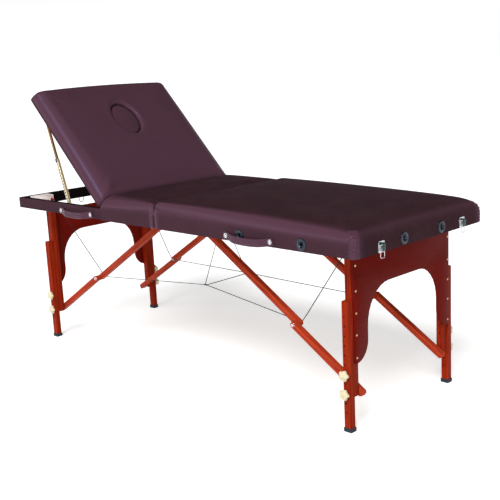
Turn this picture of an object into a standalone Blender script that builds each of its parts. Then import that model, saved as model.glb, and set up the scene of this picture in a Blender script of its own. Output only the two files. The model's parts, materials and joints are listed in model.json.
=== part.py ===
"""Folding three-section massage table, standing open with its backrest raised.

Metres, +Z up. The origin is on the floor under the middle of the fold, +X runs to the
foot end, -Y is the side with the carrying handles.
"""
import math

import bmesh
import bpy
from mathutils import Matrix, Vector

# Overall size
TABLE_LENGTH = 1.86
TABLE_WIDTH = 0.70
FRAME_BOTTOM = 0.590

# Clearances
SEAT_GAP = 0.0003
RUN_GAP = 0.0004
SIDE_GAP = 0.001
FOLD_GAP = 0.0008

# Frames and decks
RAIL_HEIGHT = 0.044
RAIL_WIDTH = 0.022
COVER_THICKNESS = 0.0005
DECK_THICKNESS = 0.006
SOCKET_RADIUS = 0.007
SIDE_SOCKETS = (0.447, 0.720)
END_SOCKET_Y = 0.104

# Cushions
PAD_THICKNESS = 0.0494
TOP_EDGE_RADIUS = 0.032
FOLD_EDGE_RADIUS = 0.012
BACK_END_RADIUS = 0.012
CORNER_RADIUS = 0.034
FOLD_CORNER_RADIUS = 0.008
CROWN = 0.006
DRAW_IN = 0.003

# Backrest
BACKREST_ANGLE = math.radians(45)
BACKREST_HINGE_X = 0.332
BACKREST_LENGTH = 0.598
BOARD_INSET = 0.004
BOARD_GAP = 0.0005
HINGE_EDGE = 0.005
CREASE_EASE = math.radians(1.5)
FACE_HOLE_U = 0.400
FACE_HOLE_LENGTH = 0.172
FACE_HOLE_WIDTH = 0.120
PLUG_GAP = 0.0005
PLUG_DOME = 0.004
PLUG_RIM = 0.008

# Legs, placed from the table's ends and sides
LEG_END_INSET = 0.111
LEG_SIDE_INSET = 0.1087
LEG_DEPTH = 0.026
LEG_WIDTH = 0.0247
LEG_END_MARGIN = 0.015
LEG_PIVOT_RISE = 0.022
LEG_TOP_RADIUS = 0.009
PIVOT_PIN_RADIUS = 0.004
PIVOT_PIN_REACH = 0.030
BOLT_HEAD_RADIUS = 0.008
BOLT_HEAD_HEIGHT = 0.0022
EXTENSION_SHIFT = 0.003
EXTENSION_DEPTH = 0.028
EXTENSION_WIDTH = 0.024
EXTENSION_MARGIN = 0.050
HOLE_PITCH = 0.032
FIRST_HOLE = 2
LAST_HOLE = 12
KNOB_HOLES = (4, 6)
STUD_RADIUS = 0.003
STUD_GAP = 0.0005
STUD_DEPTH = 0.014
KNOB_RADIUS = 0.0165
KNOB_LOBE = 0.0022
KNOB_LOBES = 5
KNOB_THICKNESS = 0.016
FOOT_HEIGHT = 0.014
FOOT_FLOOR = 0.006
FOOT_WALL = 0.0014
WOOD_EDGE = 0.002

# Aprons
APRON_THICKNESS = 0.010
APRON_DROP = 0.025
APRON_TIP_Z = 0.225
APRON_TIP_ROUND = 0.008
APRON_LEG_COVER = 0.068
APRON_TIP_ANGLE = 262
ARCH_TOP_Z = 0.462
ARCH_FLAT_Y = 0.085
ARCH_SHOULDER_Z = 0.335
ARCH_KNEE_Z = 0.295

# Corner blocks
BLOCK_RISE = 0.002
BLOCK_SIDE = 0.0213
BLOCK_WALL = 0.009
CHEEK_DEPTH = 0.020

# Folding braces
BRACE_PIVOT_X = 0.050
BRACE_PIVOT_RISE = 0.028
LINK_DEPTH = 0.022
LINK_WIDTH = 0.021
LINK_TAIL = 0.027
BRACE_PIN_RADIUS = 0.004
HANGER_WIDTH = 0.024
LINK_LEG_GAP = 0.0028
PIN_ENTRY = 0.009

# Fold hinge under the centre rails
FOLD_AXIS_DROP = 0.008
FOLD_HINGE_LENGTH = 0.620
FOLD_KNUCKLES = 9
FOLD_KNUCKLE_RADIUS = 0.004
FOLD_PIN_RADIUS = 0.002
FOLD_LEAF = 0.022
LEAF_THICKNESS = 0.0013

# Backrest hinge
BACK_HINGE_INSET = 0.0275
BACK_KNUCKLES = 7
BACK_KNUCKLE_RADIUS = 0.0025
BACK_PIN_RADIUS = 0.0012
BACK_LEAF = 0.030
BACK_LEAF_ENTRY = 0.4
BACK_AXIS_DROP = 0.0015

# Backrest struts
STRUT_RAIL_GAP = 0.003
STRUT_FOOT_X = 0.580
STRUT_FOOT_RISE = 0.027
STRUT_HEAD_U = 0.518
STRUT_HEAD_DROP = 0.013
CHANNEL_WIDTH = 0.012
CHANNEL_DEPTH = 0.014
CHANNEL_WALL = 0.0018
CHANNEL_LENGTH = 0.205
BAR_LAP = 0.040
STRUT_PIN_RADIUS = 0.003
CLEAT_THICKNESS = 0.004

# Handles
HANDLE_X = 0.490
HANDLE_RISE = 0.013
HANDLE_SPAN = 0.200
HANDLE_BOW = 0.0145
HANDLE_THICKNESS = 0.004
HANDLE_HEIGHT = 0.026
HANDLE_TAB = 0.018
HANDLE_RAMP = 0.027
HANDLE_END_SHARE = 0.55

# Latches and cables
LATCH_Y = 0.225
LATCH_WIDTH = 0.030
LATCH_HEIGHT = 0.032
LATCH_THICKNESS = 0.0022
LATCH_AXIS_RISE = 0.012
LATCH_AXIS_OUT = 0.0062
LATCH_BARREL = 0.0035
BAIL_DROP = 0.030
BAIL_WIDTH = 0.020
BAIL_WIRE = 0.0012
BAIL_SIDE_SHARE = 0.95
CABLE_RADIUS = 0.0015
CABLE_LEAD = 0.030
CABLE_TEE_Y = 0.115
CABLE_TEE_Z = 0.325
CABLE_TEE_X = 0.004

# How finely round shapes are cut
ROUND_SIDES = 12
HOLE_SIDES = 8
WIRE_SIDES = 8
OVAL_SIDES = 32
LOBE_STEPS = 6
HANDLE_STEPS = 24
CORNER_STEPS = 4
END_STEPS = 8
TIP_STEPS = 6
CUSHION_CUTS_ALONG = 7
CUSHION_CUTS_ACROSS = 6
EDGE_CUTS = (0.3, 0.65, 1.0)
EDGE_ANGLES = (0, 30, 60)
SHARP_ANGLE = math.radians(35)

# What follows from the sizes above
HALF_LENGTH = TABLE_LENGTH / 2
HALF_WIDTH = TABLE_WIDTH / 2
RAIL_TOP = FRAME_BOTTOM + RAIL_HEIGHT
RAIL_OUT_Y = HALF_WIDTH - COVER_THICKNESS
RAIL_IN_Y = RAIL_OUT_Y - RAIL_WIDTH
RAIL_OUT_X = HALF_LENGTH - COVER_THICKNESS
RAIL_IN_X = RAIL_OUT_X - RAIL_WIDTH
SOCKET_HEIGHT = FRAME_BOTTOM + RAIL_HEIGHT / 2
DECK_BOTTOM = RAIL_TOP + SEAT_GAP
DECK_TOP = DECK_BOTTOM + DECK_THICKNESS
PAD_BOTTOM = DECK_TOP + SEAT_GAP
PAD_TOP = PAD_BOTTOM + PAD_THICKNESS
LEG_X = HALF_LENGTH - LEG_END_INSET
LEG_OUTER_X = LEG_X + LEG_DEPTH
LEG_INNER_Y = HALF_WIDTH - LEG_SIDE_INSET
LEG_OUTER_Y = LEG_INNER_Y + LEG_WIDTH
LEG_BOTTOM = KNOB_HOLES[0] * HOLE_PITCH - LEG_END_MARGIN
LEG_PIVOT_X = LEG_X + LEG_TOP_RADIUS
LEG_PIVOT_Z = FRAME_BOTTOM + LEG_PIVOT_RISE
HOLE_X = LEG_X + LEG_DEPTH / 2
HOLE_RADIUS = STUD_RADIUS + STUD_GAP
EXTENSION_X = LEG_X + EXTENSION_SHIFT
EXTENSION_TOP = LAST_HOLE * HOLE_PITCH + EXTENSION_MARGIN
EXTENSION_INNER_Y = LEG_OUTER_Y + SEAT_GAP
EXTENSION_OUTER_Y = EXTENSION_INNER_Y + EXTENSION_WIDTH
APRON_X = LEG_OUTER_X + SEAT_GAP
APRON_OUT_X = APRON_X + APRON_THICKNESS
APRON_TOP = FRAME_BOTTOM - APRON_DROP
APRON_TIP_Y = LEG_OUTER_Y - APRON_TIP_ROUND
ARCH_SIDE_Y = LEG_OUTER_Y - APRON_LEG_COVER
BLOCK_X = APRON_OUT_X + RUN_GAP
BLOCK_INNER_Y = LEG_INNER_Y - BLOCK_SIDE
BLOCK_OUTER_Y = LEG_OUTER_Y + PIVOT_PIN_REACH + BLOCK_WALL
BLOCK_BOTTOM = FRAME_BOTTOM + BLOCK_RISE
CHEEK_X = LEG_PIVOT_X - CHEEK_DEPTH
LOWER_LINK_OUT_Y = LEG_INNER_Y - LINK_LEG_GAP
LOWER_LINK_IN_Y = LOWER_LINK_OUT_Y - LINK_WIDTH
UPPER_LINK_OUT_Y = LOWER_LINK_IN_Y - SIDE_GAP
UPPER_LINK_IN_Y = UPPER_LINK_OUT_Y - LINK_WIDTH
BRACE_PIVOT_Z = FRAME_BOTTOM + BRACE_PIVOT_RISE
BRACE_FOOT_Z = KNOB_HOLES[0] * HOLE_PITCH
FOLD_AXIS_Z = FRAME_BOTTOM - FOLD_AXIS_DROP
BACK_AXIS_Z = RAIL_TOP - BACK_AXIS_DROP
BACK_HINGE_LENGTH = 2 * (RAIL_IN_Y - BACK_HINGE_INSET)
BOARD_BOTTOM = BACK_AXIS_DROP + BOARD_GAP
BOARD_TOP = BOARD_BOTTOM + DECK_THICKNESS
BACK_PAD_BOTTOM = BOARD_TOP + SEAT_GAP
BACK_PAD_TOP = PAD_TOP - BACK_AXIS_Z
CREASE_SLANT = math.tan(BACKREST_ANGLE / 2 - CREASE_EASE)
STRUT_Y = RAIL_IN_Y - STRUT_RAIL_GAP - CHANNEL_WIDTH / 2
STRUT_FOOT_Z = FRAME_BOTTOM + STRUT_FOOT_RISE
HANDLE_Z = FRAME_BOTTOM + HANDLE_RISE
LATCH_AXIS_Z = FRAME_BOTTOM + LATCH_AXIS_RISE
BAIL_BOTTOM = LATCH_AXIS_Z - BAIL_DROP
FOLD_POINT = (0.0, 0.0, FOLD_AXIS_Z)
ENDS = {"foot": 1, "head": -1}
SIDES = {"near": -1, "far": 1}


def brace_lengths():
    """Upper and lower link lengths: straight when the leg is out, level when it is folded in."""
    foot_x = HOLE_X - BRACE_PIVOT_X
    foot_z = BRACE_PIVOT_Z - BRACE_FOOT_Z
    straight = math.hypot(foot_x, foot_z)
    folded_x = LEG_PIVOT_X - (LEG_PIVOT_Z - BRACE_FOOT_Z) - BRACE_PIVOT_X
    folded_z = LEG_PIVOT_Z - (HOLE_X - LEG_PIVOT_X) - BRACE_PIVOT_Z
    reach = folded_x ** 2 + folded_z ** 2
    upper = (straight ** 2 - reach) / (2 * (straight - folded_x))
    return upper, straight - upper


UPPER_LENGTH, LOWER_LENGTH = brace_lengths()
BRACE_SLOPE = math.atan2(BRACE_PIVOT_Z - BRACE_FOOT_Z, HOLE_X - BRACE_PIVOT_X)
ELBOW_X = BRACE_PIVOT_X + UPPER_LENGTH * math.cos(BRACE_SLOPE)
ELBOW_Z = BRACE_PIVOT_Z - UPPER_LENGTH * math.sin(BRACE_SLOPE)


# Scene, materials and small building tools

def clear_scene():
    """Remove everything from the file, so that the model starts from nothing."""
    for obj in list(bpy.data.objects):
        bpy.data.objects.remove(obj, do_unlink=True)


def finish(name, colour, roughness, metallic=0.0):
    """A plain Principled material."""
    mat = bpy.data.materials.new(name)
    mat.use_nodes = True
    shader = mat.node_tree.nodes["Principled BSDF"]
    shader.inputs["Base Color"].default_value = (*colour, 1.0)
    shader.inputs["Roughness"].default_value = roughness
    shader.inputs["Metallic"].default_value = metallic
    mat.diffuse_color = (*colour, 1.0)
    return mat


def finishes():
    """The finishes of the table's pieces."""
    return {
        "vinyl": finish("brown_vinyl", (0.046, 0.021, 0.026), 0.42),
        "stained": finish("stained_beech", (0.300, 0.020, 0.009), 0.35),
        "apron": finish("stained_plywood", (0.150, 0.007, 0.004), 0.30),
        "raw": finish("raw_wood", (0.720, 0.500, 0.420), 0.65),
        "plywood": finish("deck_plywood", (0.520, 0.380, 0.240), 0.70),
        "zinc": finish("zinc_steel", (0.520, 0.420, 0.240), 0.35, 1.0),
        "chrome": finish("chrome_steel", (0.800, 0.800, 0.820), 0.15, 1.0),
        "rubber": finish("black_rubber", (0.014, 0.022, 0.034), 0.75),
        "cream": finish("cream_plastic", (0.900, 0.820, 0.580), 0.45),
        "cable": finish("cable_steel", (0.025, 0.042, 0.038), 0.40, 0.6),
    }


def add_object(name, bm, mat, parent=None, origin=(0.0, 0.0, 0.0)):
    """Turn a bmesh in the parent's axes into an object whose origin is at a point there."""
    bmesh.ops.recalc_face_normals(bm, faces=bm.faces)
    bmesh.ops.translate(bm, verts=bm.verts, vec=-Vector(origin))
    mesh = bpy.data.meshes.new(name)
    bm.to_mesh(mesh)
    bm.free()
    mesh.shade_smooth()
    mesh.set_sharp_from_angle(angle=SHARP_ANGLE)
    obj = bpy.data.objects.new(name, mesh)
    obj.location = origin
    obj.parent = parent
    obj.data.materials.append(mat)
    bpy.context.scene.collection.objects.link(obj)
    return obj


def axis_empty(name, location, turn_y=0.0):
    """An empty on a joint's axis, which carries the pieces that move with it."""
    empty = bpy.data.objects.new(name, None)
    empty.location = location
    empty.rotation_euler = (0.0, turn_y, 0.0)
    bpy.context.scene.collection.objects.link(empty)
    return empty


def change(obj, shape, operation):
    """Cut a bmesh shape from an object, or join it on, with a hidden helper object."""
    helper = add_object(obj.name + ".tool", shape, obj.data.materials[0], obj.parent)
    helper.hide_render = True
    helper.display_type = "WIRE"
    modifier = obj.modifiers.new(operation.lower(), "BOOLEAN")
    modifier.operation = operation
    modifier.solver = "EXACT"
    modifier.object = helper


def spread(first, second, sign=1):
    """Two limits, signed and in rising order."""
    return sorted((sign * first, sign * second))


def add_box(bm, x, y, z):
    """Add a box between pairs of limits."""
    middle = [(limits[0] + limits[1]) / 2 for limits in (x, y, z)]
    size = [limits[1] - limits[0] for limits in (x, y, z)]
    place = Matrix.Translation(middle) @ Matrix.Diagonal((*size, 1.0))
    return bmesh.ops.create_cube(bm, size=1.0, matrix=place)["verts"]


def box(x, y, z, edge=0.0):
    """A box, with its edges eased where edge is given."""
    bm = bmesh.new()
    add_box(bm, x, y, z)
    if edge:
        bmesh.ops.bevel(bm, geom=list(bm.edges), offset=edge, segments=1, profile=0.5,
                        affect="EDGES", material=-1)
    return bm


def add_rod(bm, start, end, radius, sides=ROUND_SIDES):
    """Add a closed round rod between two points."""
    start, end = Vector(start), Vector(end)
    turn = (end - start).to_track_quat("Z", "Y").to_matrix().to_4x4()
    place = Matrix.Translation((start + end) / 2) @ turn
    bmesh.ops.create_cone(bm, cap_ends=True, segments=sides, radius1=radius, radius2=radius,
                          depth=(end - start).length, matrix=place)


def rod(start, end, radius, sides=ROUND_SIDES):
    """A closed round rod as a shape of its own."""
    bm = bmesh.new()
    add_rod(bm, start, end, radius, sides)
    return bm


def plate(outline, y):
    """A flat plate: an outline of (x, z) points, extruded between two y limits."""
    bm = bmesh.new()
    face = bm.faces.new([bm.verts.new((px, y[0], pz)) for px, pz in outline])
    made = bmesh.ops.extrude_face_region(bm, geom=[face])["geom"]
    moved = [item for item in made if isinstance(item, bmesh.types.BMVert)]
    bmesh.ops.translate(bm, verts=moved, vec=(0.0, y[1] - y[0], 0.0))
    return bm


def arc(centre, radius, start, stop, steps):
    """Points on a circular or elliptical arc, angles in degrees, both ends included."""
    wide, high = radius if isinstance(radius, tuple) else (radius, radius)
    points = []
    for step in range(steps + 1):
        angle = math.radians(start + (stop - start) * step / steps)
        points.append((centre[0] + wide * math.cos(angle), centre[1] + high * math.sin(angle)))
    return points


# Cushions

def edge_inset(height, top, radius):
    """How far a rounded top edge draws in at a height."""
    rise = max(0.0, height - (top - radius))
    return radius - math.sqrt(max(0.0, radius ** 2 - rise ** 2))


def cut_places(low, high, radius, across):
    """Where the mesh of a cushion is cut: close together in the rounded ends, wide between."""
    near = [radius * share for share in EDGE_CUTS]
    places = [low + step for step in near] + [high - step for step in near]
    inner_low, inner_high = low + radius, high - radius
    places += [inner_low + (inner_high - inner_low) * n / across for n in range(1, across)]
    return places


def cushion_shape(x, half_width, z, radii, corners, slants):
    """A padded slab: rounded top edges and corners, a crown, and sides drawn in between corners.

    radii, corners and slants hold a value for the low-x end and one for the high-x end.
    """
    bm = bmesh.new()
    add_box(bm, x, (-half_width, half_width), z)
    widest = max(*corners, *radii)
    cuts = [((place, 0, 0), (1, 0, 0)) for place in cut_places(*x, widest, CUSHION_CUTS_ALONG)]
    cuts += [((0, place, 0), (0, 1, 0))
             for place in cut_places(-half_width, half_width, widest, CUSHION_CUTS_ACROSS)]
    for angle in EDGE_ANGLES:
        height = z[1] - TOP_EDGE_RADIUS * (1 - math.sin(math.radians(angle)))
        cuts.append(((0, 0, height), (0, 0, 1)))
    for place, normal in cuts:
        bmesh.ops.bisect_plane(bm, geom=list(bm.verts) + list(bm.edges) + list(bm.faces),
                               plane_co=place, plane_no=normal, dist=1e-6)
    middle, half = (x[0] + x[1]) / 2, (x[1] - x[0]) / 2
    for vert in bm.verts:
        px, py, pz = vert.co
        along, across = (px - middle) / half, py / half_width
        end = 1 if along > 0 else 0
        swell = (1 - along ** 2) * (1 - across ** 2)
        rise = (pz - z[0]) / (z[1] - z[0])
        corner = corners[end]
        inner = (half - corner, half_width - corner)
        off = [abs(px - middle) - inner[0], abs(py) - inner[1]]
        if min(off) > 0:
            pull = max(off) / math.hypot(*off)
            px = middle + math.copysign(inner[0] + off[0] * pull, along)
            py = math.copysign(inner[1] + off[1] * pull, across)
        end_inset = edge_inset(pz, z[1], radii[end])
        side_inset = edge_inset(pz, z[1], TOP_EDGE_RADIUS)
        side_inset += DRAW_IN * (1 - along ** 2) * math.sin(math.pi * rise)
        px = middle + (px - middle) * (half - end_inset) / half
        px += slants[end] * (pz - z[0]) * along ** 2
        py *= (half_width - side_inset) / half_width
        top = z[1] - CROWN * (1 - swell)
        pz = z[0] + (top - z[0]) * rise
        vert.co = (px, py, pz)
    return bm


def add_foot_cushion(kit, half):
    """The long pad of the foot half."""
    shape = cushion_shape((FOLD_GAP, HALF_LENGTH), HALF_WIDTH, (PAD_BOTTOM, PAD_TOP),
                          (FOLD_EDGE_RADIUS, TOP_EDGE_RADIUS),
                          (FOLD_CORNER_RADIUS, CORNER_RADIUS), (0.0, 0.0))
    add_object("foot_cushion", shape, kit["vinyl"], half, FOLD_POINT)


def add_head_cushion(kit, half):
    """The short fixed pad between the fold and the backrest, slanted where the backrest swings."""
    start = -BACKREST_HINGE_X + HINGE_EDGE
    shape = cushion_shape((start, -FOLD_GAP), HALF_WIDTH, (PAD_BOTTOM, PAD_TOP),
                          (FOLD_EDGE_RADIUS, FOLD_EDGE_RADIUS),
                          (FOLD_CORNER_RADIUS, FOLD_CORNER_RADIUS),
                          (CREASE_SLANT, 0.0))
    add_object("head_cushion", shape, kit["vinyl"], half, FOLD_POINT)


# Frames, decks and what is fixed to them

def add_frame(kit, end, half):
    """A ring of four rails, with hangers for the braces and bores for accessories."""
    sign = ENDS[end]
    frame = add_object(end + "_frame", box(spread(FOLD_GAP, RAIL_OUT_X, sign),
                                           (-RAIL_OUT_Y, RAIL_OUT_Y),
                                           (FRAME_BOTTOM, RAIL_TOP), WOOD_EDGE),
                       kit["vinyl"], half, FOLD_POINT)
    opening = box(spread(FOLD_GAP + RAIL_WIDTH, RAIL_IN_X, sign), (-RAIL_IN_Y, RAIL_IN_Y),
                  (FRAME_BOTTOM - RAIL_HEIGHT, RAIL_TOP + RAIL_HEIGHT))
    change(frame, opening, "DIFFERENCE")
    hanger_x = (FOLD_GAP + RAIL_WIDTH / 2, BRACE_PIVOT_X + LINK_DEPTH / 2)
    hanger_y = (UPPER_LINK_OUT_Y + RUN_GAP, UPPER_LINK_OUT_Y + RUN_GAP + HANGER_WIDTH)
    hanger_z = (BRACE_PIVOT_Z - LINK_DEPTH / 2, RAIL_TOP - SEAT_GAP)
    for side in SIDES.values():
        change(frame, box(spread(*hanger_x, sign), spread(*hanger_y, side), hanger_z), "UNION")
        change(frame, rod((sign * BRACE_PIVOT_X, side * (UPPER_LINK_IN_Y + RUN_GAP), BRACE_PIVOT_Z),
                          (sign * BRACE_PIVOT_X, side * (hanger_y[0] + PIN_ENTRY), BRACE_PIVOT_Z),
                          BRACE_PIN_RADIUS), "UNION")
    if end == "foot":
        add_sockets(frame)
    else:
        for side in SIDES.values():
            change(frame, rod((-STRUT_FOOT_X, side * (STRUT_Y - CHANNEL_WIDTH / 2), STRUT_FOOT_Z),
                              (-STRUT_FOOT_X, side * (RAIL_IN_Y + PIN_ENTRY), STRUT_FOOT_Z),
                              STRUT_PIN_RADIUS), "UNION")


def add_sockets(frame):
    """Bores in the rails for the pins of arm rests and face cradles."""
    bores = bmesh.new()
    for side in SIDES.values():
        for place in SIDE_SOCKETS:
            add_rod(bores, (place, side * (RAIL_IN_Y - SOCKET_RADIUS), SOCKET_HEIGHT),
                    (place, side * (HALF_WIDTH + SOCKET_RADIUS), SOCKET_HEIGHT), SOCKET_RADIUS)
        add_rod(bores, (RAIL_IN_X - SOCKET_RADIUS, side * END_SOCKET_Y, SOCKET_HEIGHT),
                (HALF_LENGTH + SOCKET_RADIUS, side * END_SOCKET_Y, SOCKET_HEIGHT), SOCKET_RADIUS)
    change(frame, bores, "DIFFERENCE")


def add_deck(kit, end, half):
    """The plywood panel under a fixed pad."""
    far_end = RAIL_OUT_X if end == "foot" else BACKREST_HINGE_X - HINGE_EDGE + SIDE_GAP
    add_object(end + "_deck", box(spread(FOLD_GAP, far_end, ENDS[end]), (-RAIL_OUT_Y, RAIL_OUT_Y),
                                  (DECK_BOTTOM, DECK_TOP)), kit["plywood"], half, FOLD_POINT)


def add_corner_block(kit, end, side, half):
    """The block in a frame corner: a stop behind the leg and a cheek that holds its pivot."""
    sign, hand = ENDS[end], SIDES[side]
    block = add_object(f"{end}_corner_block_{side}",
                       box(spread(BLOCK_X, RAIL_IN_X - SEAT_GAP, sign),
                           spread(BLOCK_INNER_Y, BLOCK_OUTER_Y, hand),
                           (BLOCK_BOTTOM, RAIL_TOP - SEAT_GAP)), kit["raw"], half, FOLD_POINT)
    cheek_y = LEG_OUTER_Y + RUN_GAP
    change(block, box(spread(CHEEK_X, RAIL_IN_X - RAIL_WIDTH, sign),
                      spread(cheek_y, BLOCK_OUTER_Y - SEAT_GAP, hand),
                      (BLOCK_BOTTOM + SEAT_GAP, RAIL_TOP - 2 * SEAT_GAP)), "UNION")
    bore_radius = PIVOT_PIN_RADIUS + SEAT_GAP
    change(block, rod((sign * LEG_PIVOT_X, hand * (cheek_y - PIN_ENTRY), LEG_PIVOT_Z),
                      (sign * LEG_PIVOT_X, hand * (LEG_OUTER_Y + PIVOT_PIN_REACH + SIDE_GAP),
                       LEG_PIVOT_Z), bore_radius), "DIFFERENCE")


def add_handle(kit, end, half):
    """A strap handle on the near rail, bowed clear of it between its two fixed ends."""
    sign = ENDS[end]
    wall = HALF_WIDTH + SEAT_GAP
    reach = HANDLE_SPAN / 2 + HANDLE_HEIGHT / 2
    shape = bmesh.new()
    rings = []
    for step in range(HANDLE_STEPS + 1):
        along = reach * (2 * step / HANDLE_STEPS - 1)
        from_end = reach - abs(along)
        tab = min(1.0, from_end / HANDLE_TAB)
        ramp = min(1.0, max(0.0, (from_end - HANDLE_TAB) / HANDLE_RAMP))
        bow = HANDLE_BOW * math.sin(ramp * math.pi / 2)
        swell = math.sqrt(1 - (1 - tab) ** 2)
        tall = HANDLE_HEIGHT / 2 * (HANDLE_END_SHARE + (1 - HANDLE_END_SHARE) * swell)
        px = sign * HANDLE_X + along
        inner, outer = -(wall + bow), -(wall + bow + HANDLE_THICKNESS)
        corners = ((inner, -tall), (outer, -tall), (outer, tall), (inner, tall))
        rings.append([shape.verts.new((px, py, HANDLE_Z + pz)) for py, pz in corners])
    for ring, after in zip(rings, rings[1:]):
        for n in range(4):
            shape.faces.new((ring[n], ring[n - 1], after[n - 1], after[n]))
    shape.faces.new(rings[0])
    shape.faces.new(rings[-1])
    add_object(end + "_handle", shape, kit["vinyl"], half, FOLD_POINT)


# Hinges

def knuckle_limits(length, count, keep):
    """The y limits of every other knuckle of a hinge."""
    pitch = length / count
    limits = []
    for n in range(keep, count, 2):
        low = -length / 2 + n * pitch
        limits.append((low + SEAT_GAP, low + pitch - SEAT_GAP))
    return limits


def add_fold_leaf(kit, end, half):
    """One leaf of the long hinge under the fold: a flange, webs and bored knuckles."""
    sign = ENDS[end]
    flange_top = FRAME_BOTTOM - SEAT_GAP
    flange = box(spread(SIDE_GAP, FOLD_GAP + FOLD_LEAF, sign),
                 (-FOLD_HINGE_LENGTH / 2, FOLD_HINGE_LENGTH / 2),
                 (flange_top - LEAF_THICKNESS, flange_top))
    leaf = add_object(f"fold_hinge_{end}_leaf", flange, kit["zinc"], half, FOLD_POINT)
    webs = bmesh.new()
    knuckles = bmesh.new()
    wall = (FOLD_PIN_RADIUS + SEAT_GAP + FOLD_KNUCKLE_RADIUS) / 2
    for low, high in knuckle_limits(FOLD_HINGE_LENGTH, FOLD_KNUCKLES, 0 if sign > 0 else 1):
        add_box(webs, spread(wall - LEAF_THICKNESS / 2, wall + LEAF_THICKNESS / 2, sign),
                (low + SEAT_GAP, high - SEAT_GAP), (FOLD_AXIS_Z, flange_top - LEAF_THICKNESS / 2))
        add_rod(knuckles, (0, low, FOLD_AXIS_Z), (0, high, FOLD_AXIS_Z), FOLD_KNUCKLE_RADIUS)
    change(leaf, webs, "UNION")
    change(leaf, knuckles, "UNION")
    reach = FOLD_HINGE_LENGTH
    change(leaf, rod((0, -reach, FOLD_AXIS_Z), (0, reach, FOLD_AXIS_Z),
                     FOLD_PIN_RADIUS + SEAT_GAP), "DIFFERENCE")


def add_fold_pin(kit):
    """The pin that both leaves of the fold hinge turn on."""
    half = FOLD_HINGE_LENGTH / 2
    add_object("fold_hinge_pin", rod((0, -half, FOLD_AXIS_Z), (0, half, FOLD_AXIS_Z),
                                     FOLD_PIN_RADIUS), kit["zinc"], None, FOLD_POINT)


def back_leaf(kit, name, parent, origin, centre, reach, first):
    """A backrest hinge leaf with its knuckles, its axis at centre and its plate along +X or -X."""
    cx, cz = centre
    high = cz + BACK_AXIS_DROP + (0.0 if reach > 0 else BOARD_GAP - SEAT_GAP)
    edge = BACK_KNUCKLE_RADIUS * BACK_LEAF_ENTRY
    shape = box(sorted((cx + math.copysign(edge, reach), cx + reach)),
                (-BACK_HINGE_LENGTH / 2, BACK_HINGE_LENGTH / 2), (high - LEAF_THICKNESS, high))
    slots = bmesh.new()
    knuckles = bmesh.new()
    clear = BACK_KNUCKLE_RADIUS + RUN_GAP
    for low, top in knuckle_limits(BACK_HINGE_LENGTH, BACK_KNUCKLES, first):
        add_rod(knuckles, (cx, low, cz), (cx, top, cz), BACK_KNUCKLE_RADIUS)
    for low, top in knuckle_limits(BACK_HINGE_LENGTH, BACK_KNUCKLES, 1 - first):
        add_box(slots, (cx - clear, cx + clear), (low - 2 * SEAT_GAP, top + 2 * SEAT_GAP),
                (cz - clear, cz + clear))
    leaf = add_object(name, shape, kit["zinc"], parent, origin)
    change(leaf, slots, "DIFFERENCE")
    change(leaf, knuckles, "UNION")
    return leaf


def add_backrest_hinge(kit, half, back):
    """The hinge between the fixed deck and the backrest board; its pin is in the frame leaf."""
    frame_leaf = back_leaf(kit, "backrest_hinge_frame_leaf", half, FOLD_POINT,
                           (-BACKREST_HINGE_X, BACK_AXIS_Z), BACK_LEAF, 0)
    board_leaf = back_leaf(kit, "backrest_hinge_board_leaf", back, (0.0, 0.0, 0.0), (0.0, 0.0),
                           -BACK_LEAF, 1)
    reach = BACK_HINGE_LENGTH / 2
    change(board_leaf, rod((0, -reach, 0), (0, reach, 0), BACK_PIN_RADIUS + SEAT_GAP), "DIFFERENCE")
    ends = reach - BACK_HINGE_LENGTH / BACK_KNUCKLES / 2
    change(frame_leaf, rod((-BACKREST_HINGE_X, -ends, BACK_AXIS_Z),
                           (-BACKREST_HINGE_X, ends, BACK_AXIS_Z), BACK_PIN_RADIUS), "UNION")


# Backrest, in its own axes: x runs to the hinge, z is square to the board

def face_oval(gap, low, high):
    """An oval rod as wide as the face hole less a gap all round."""
    bm = bmesh.new()
    bmesh.ops.create_cone(bm, cap_ends=True, segments=OVAL_SIDES, radius1=1.0, radius2=1.0, depth=1.0)
    size = (FACE_HOLE_LENGTH / 2 - gap, FACE_HOLE_WIDTH / 2 - gap, high - low, 1.0)
    place = Matrix.Translation((-FACE_HOLE_U, 0, (low + high) / 2)) @ Matrix.Diagonal(size)
    bmesh.ops.transform(bm, matrix=place, verts=bm.verts)
    return bm


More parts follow.
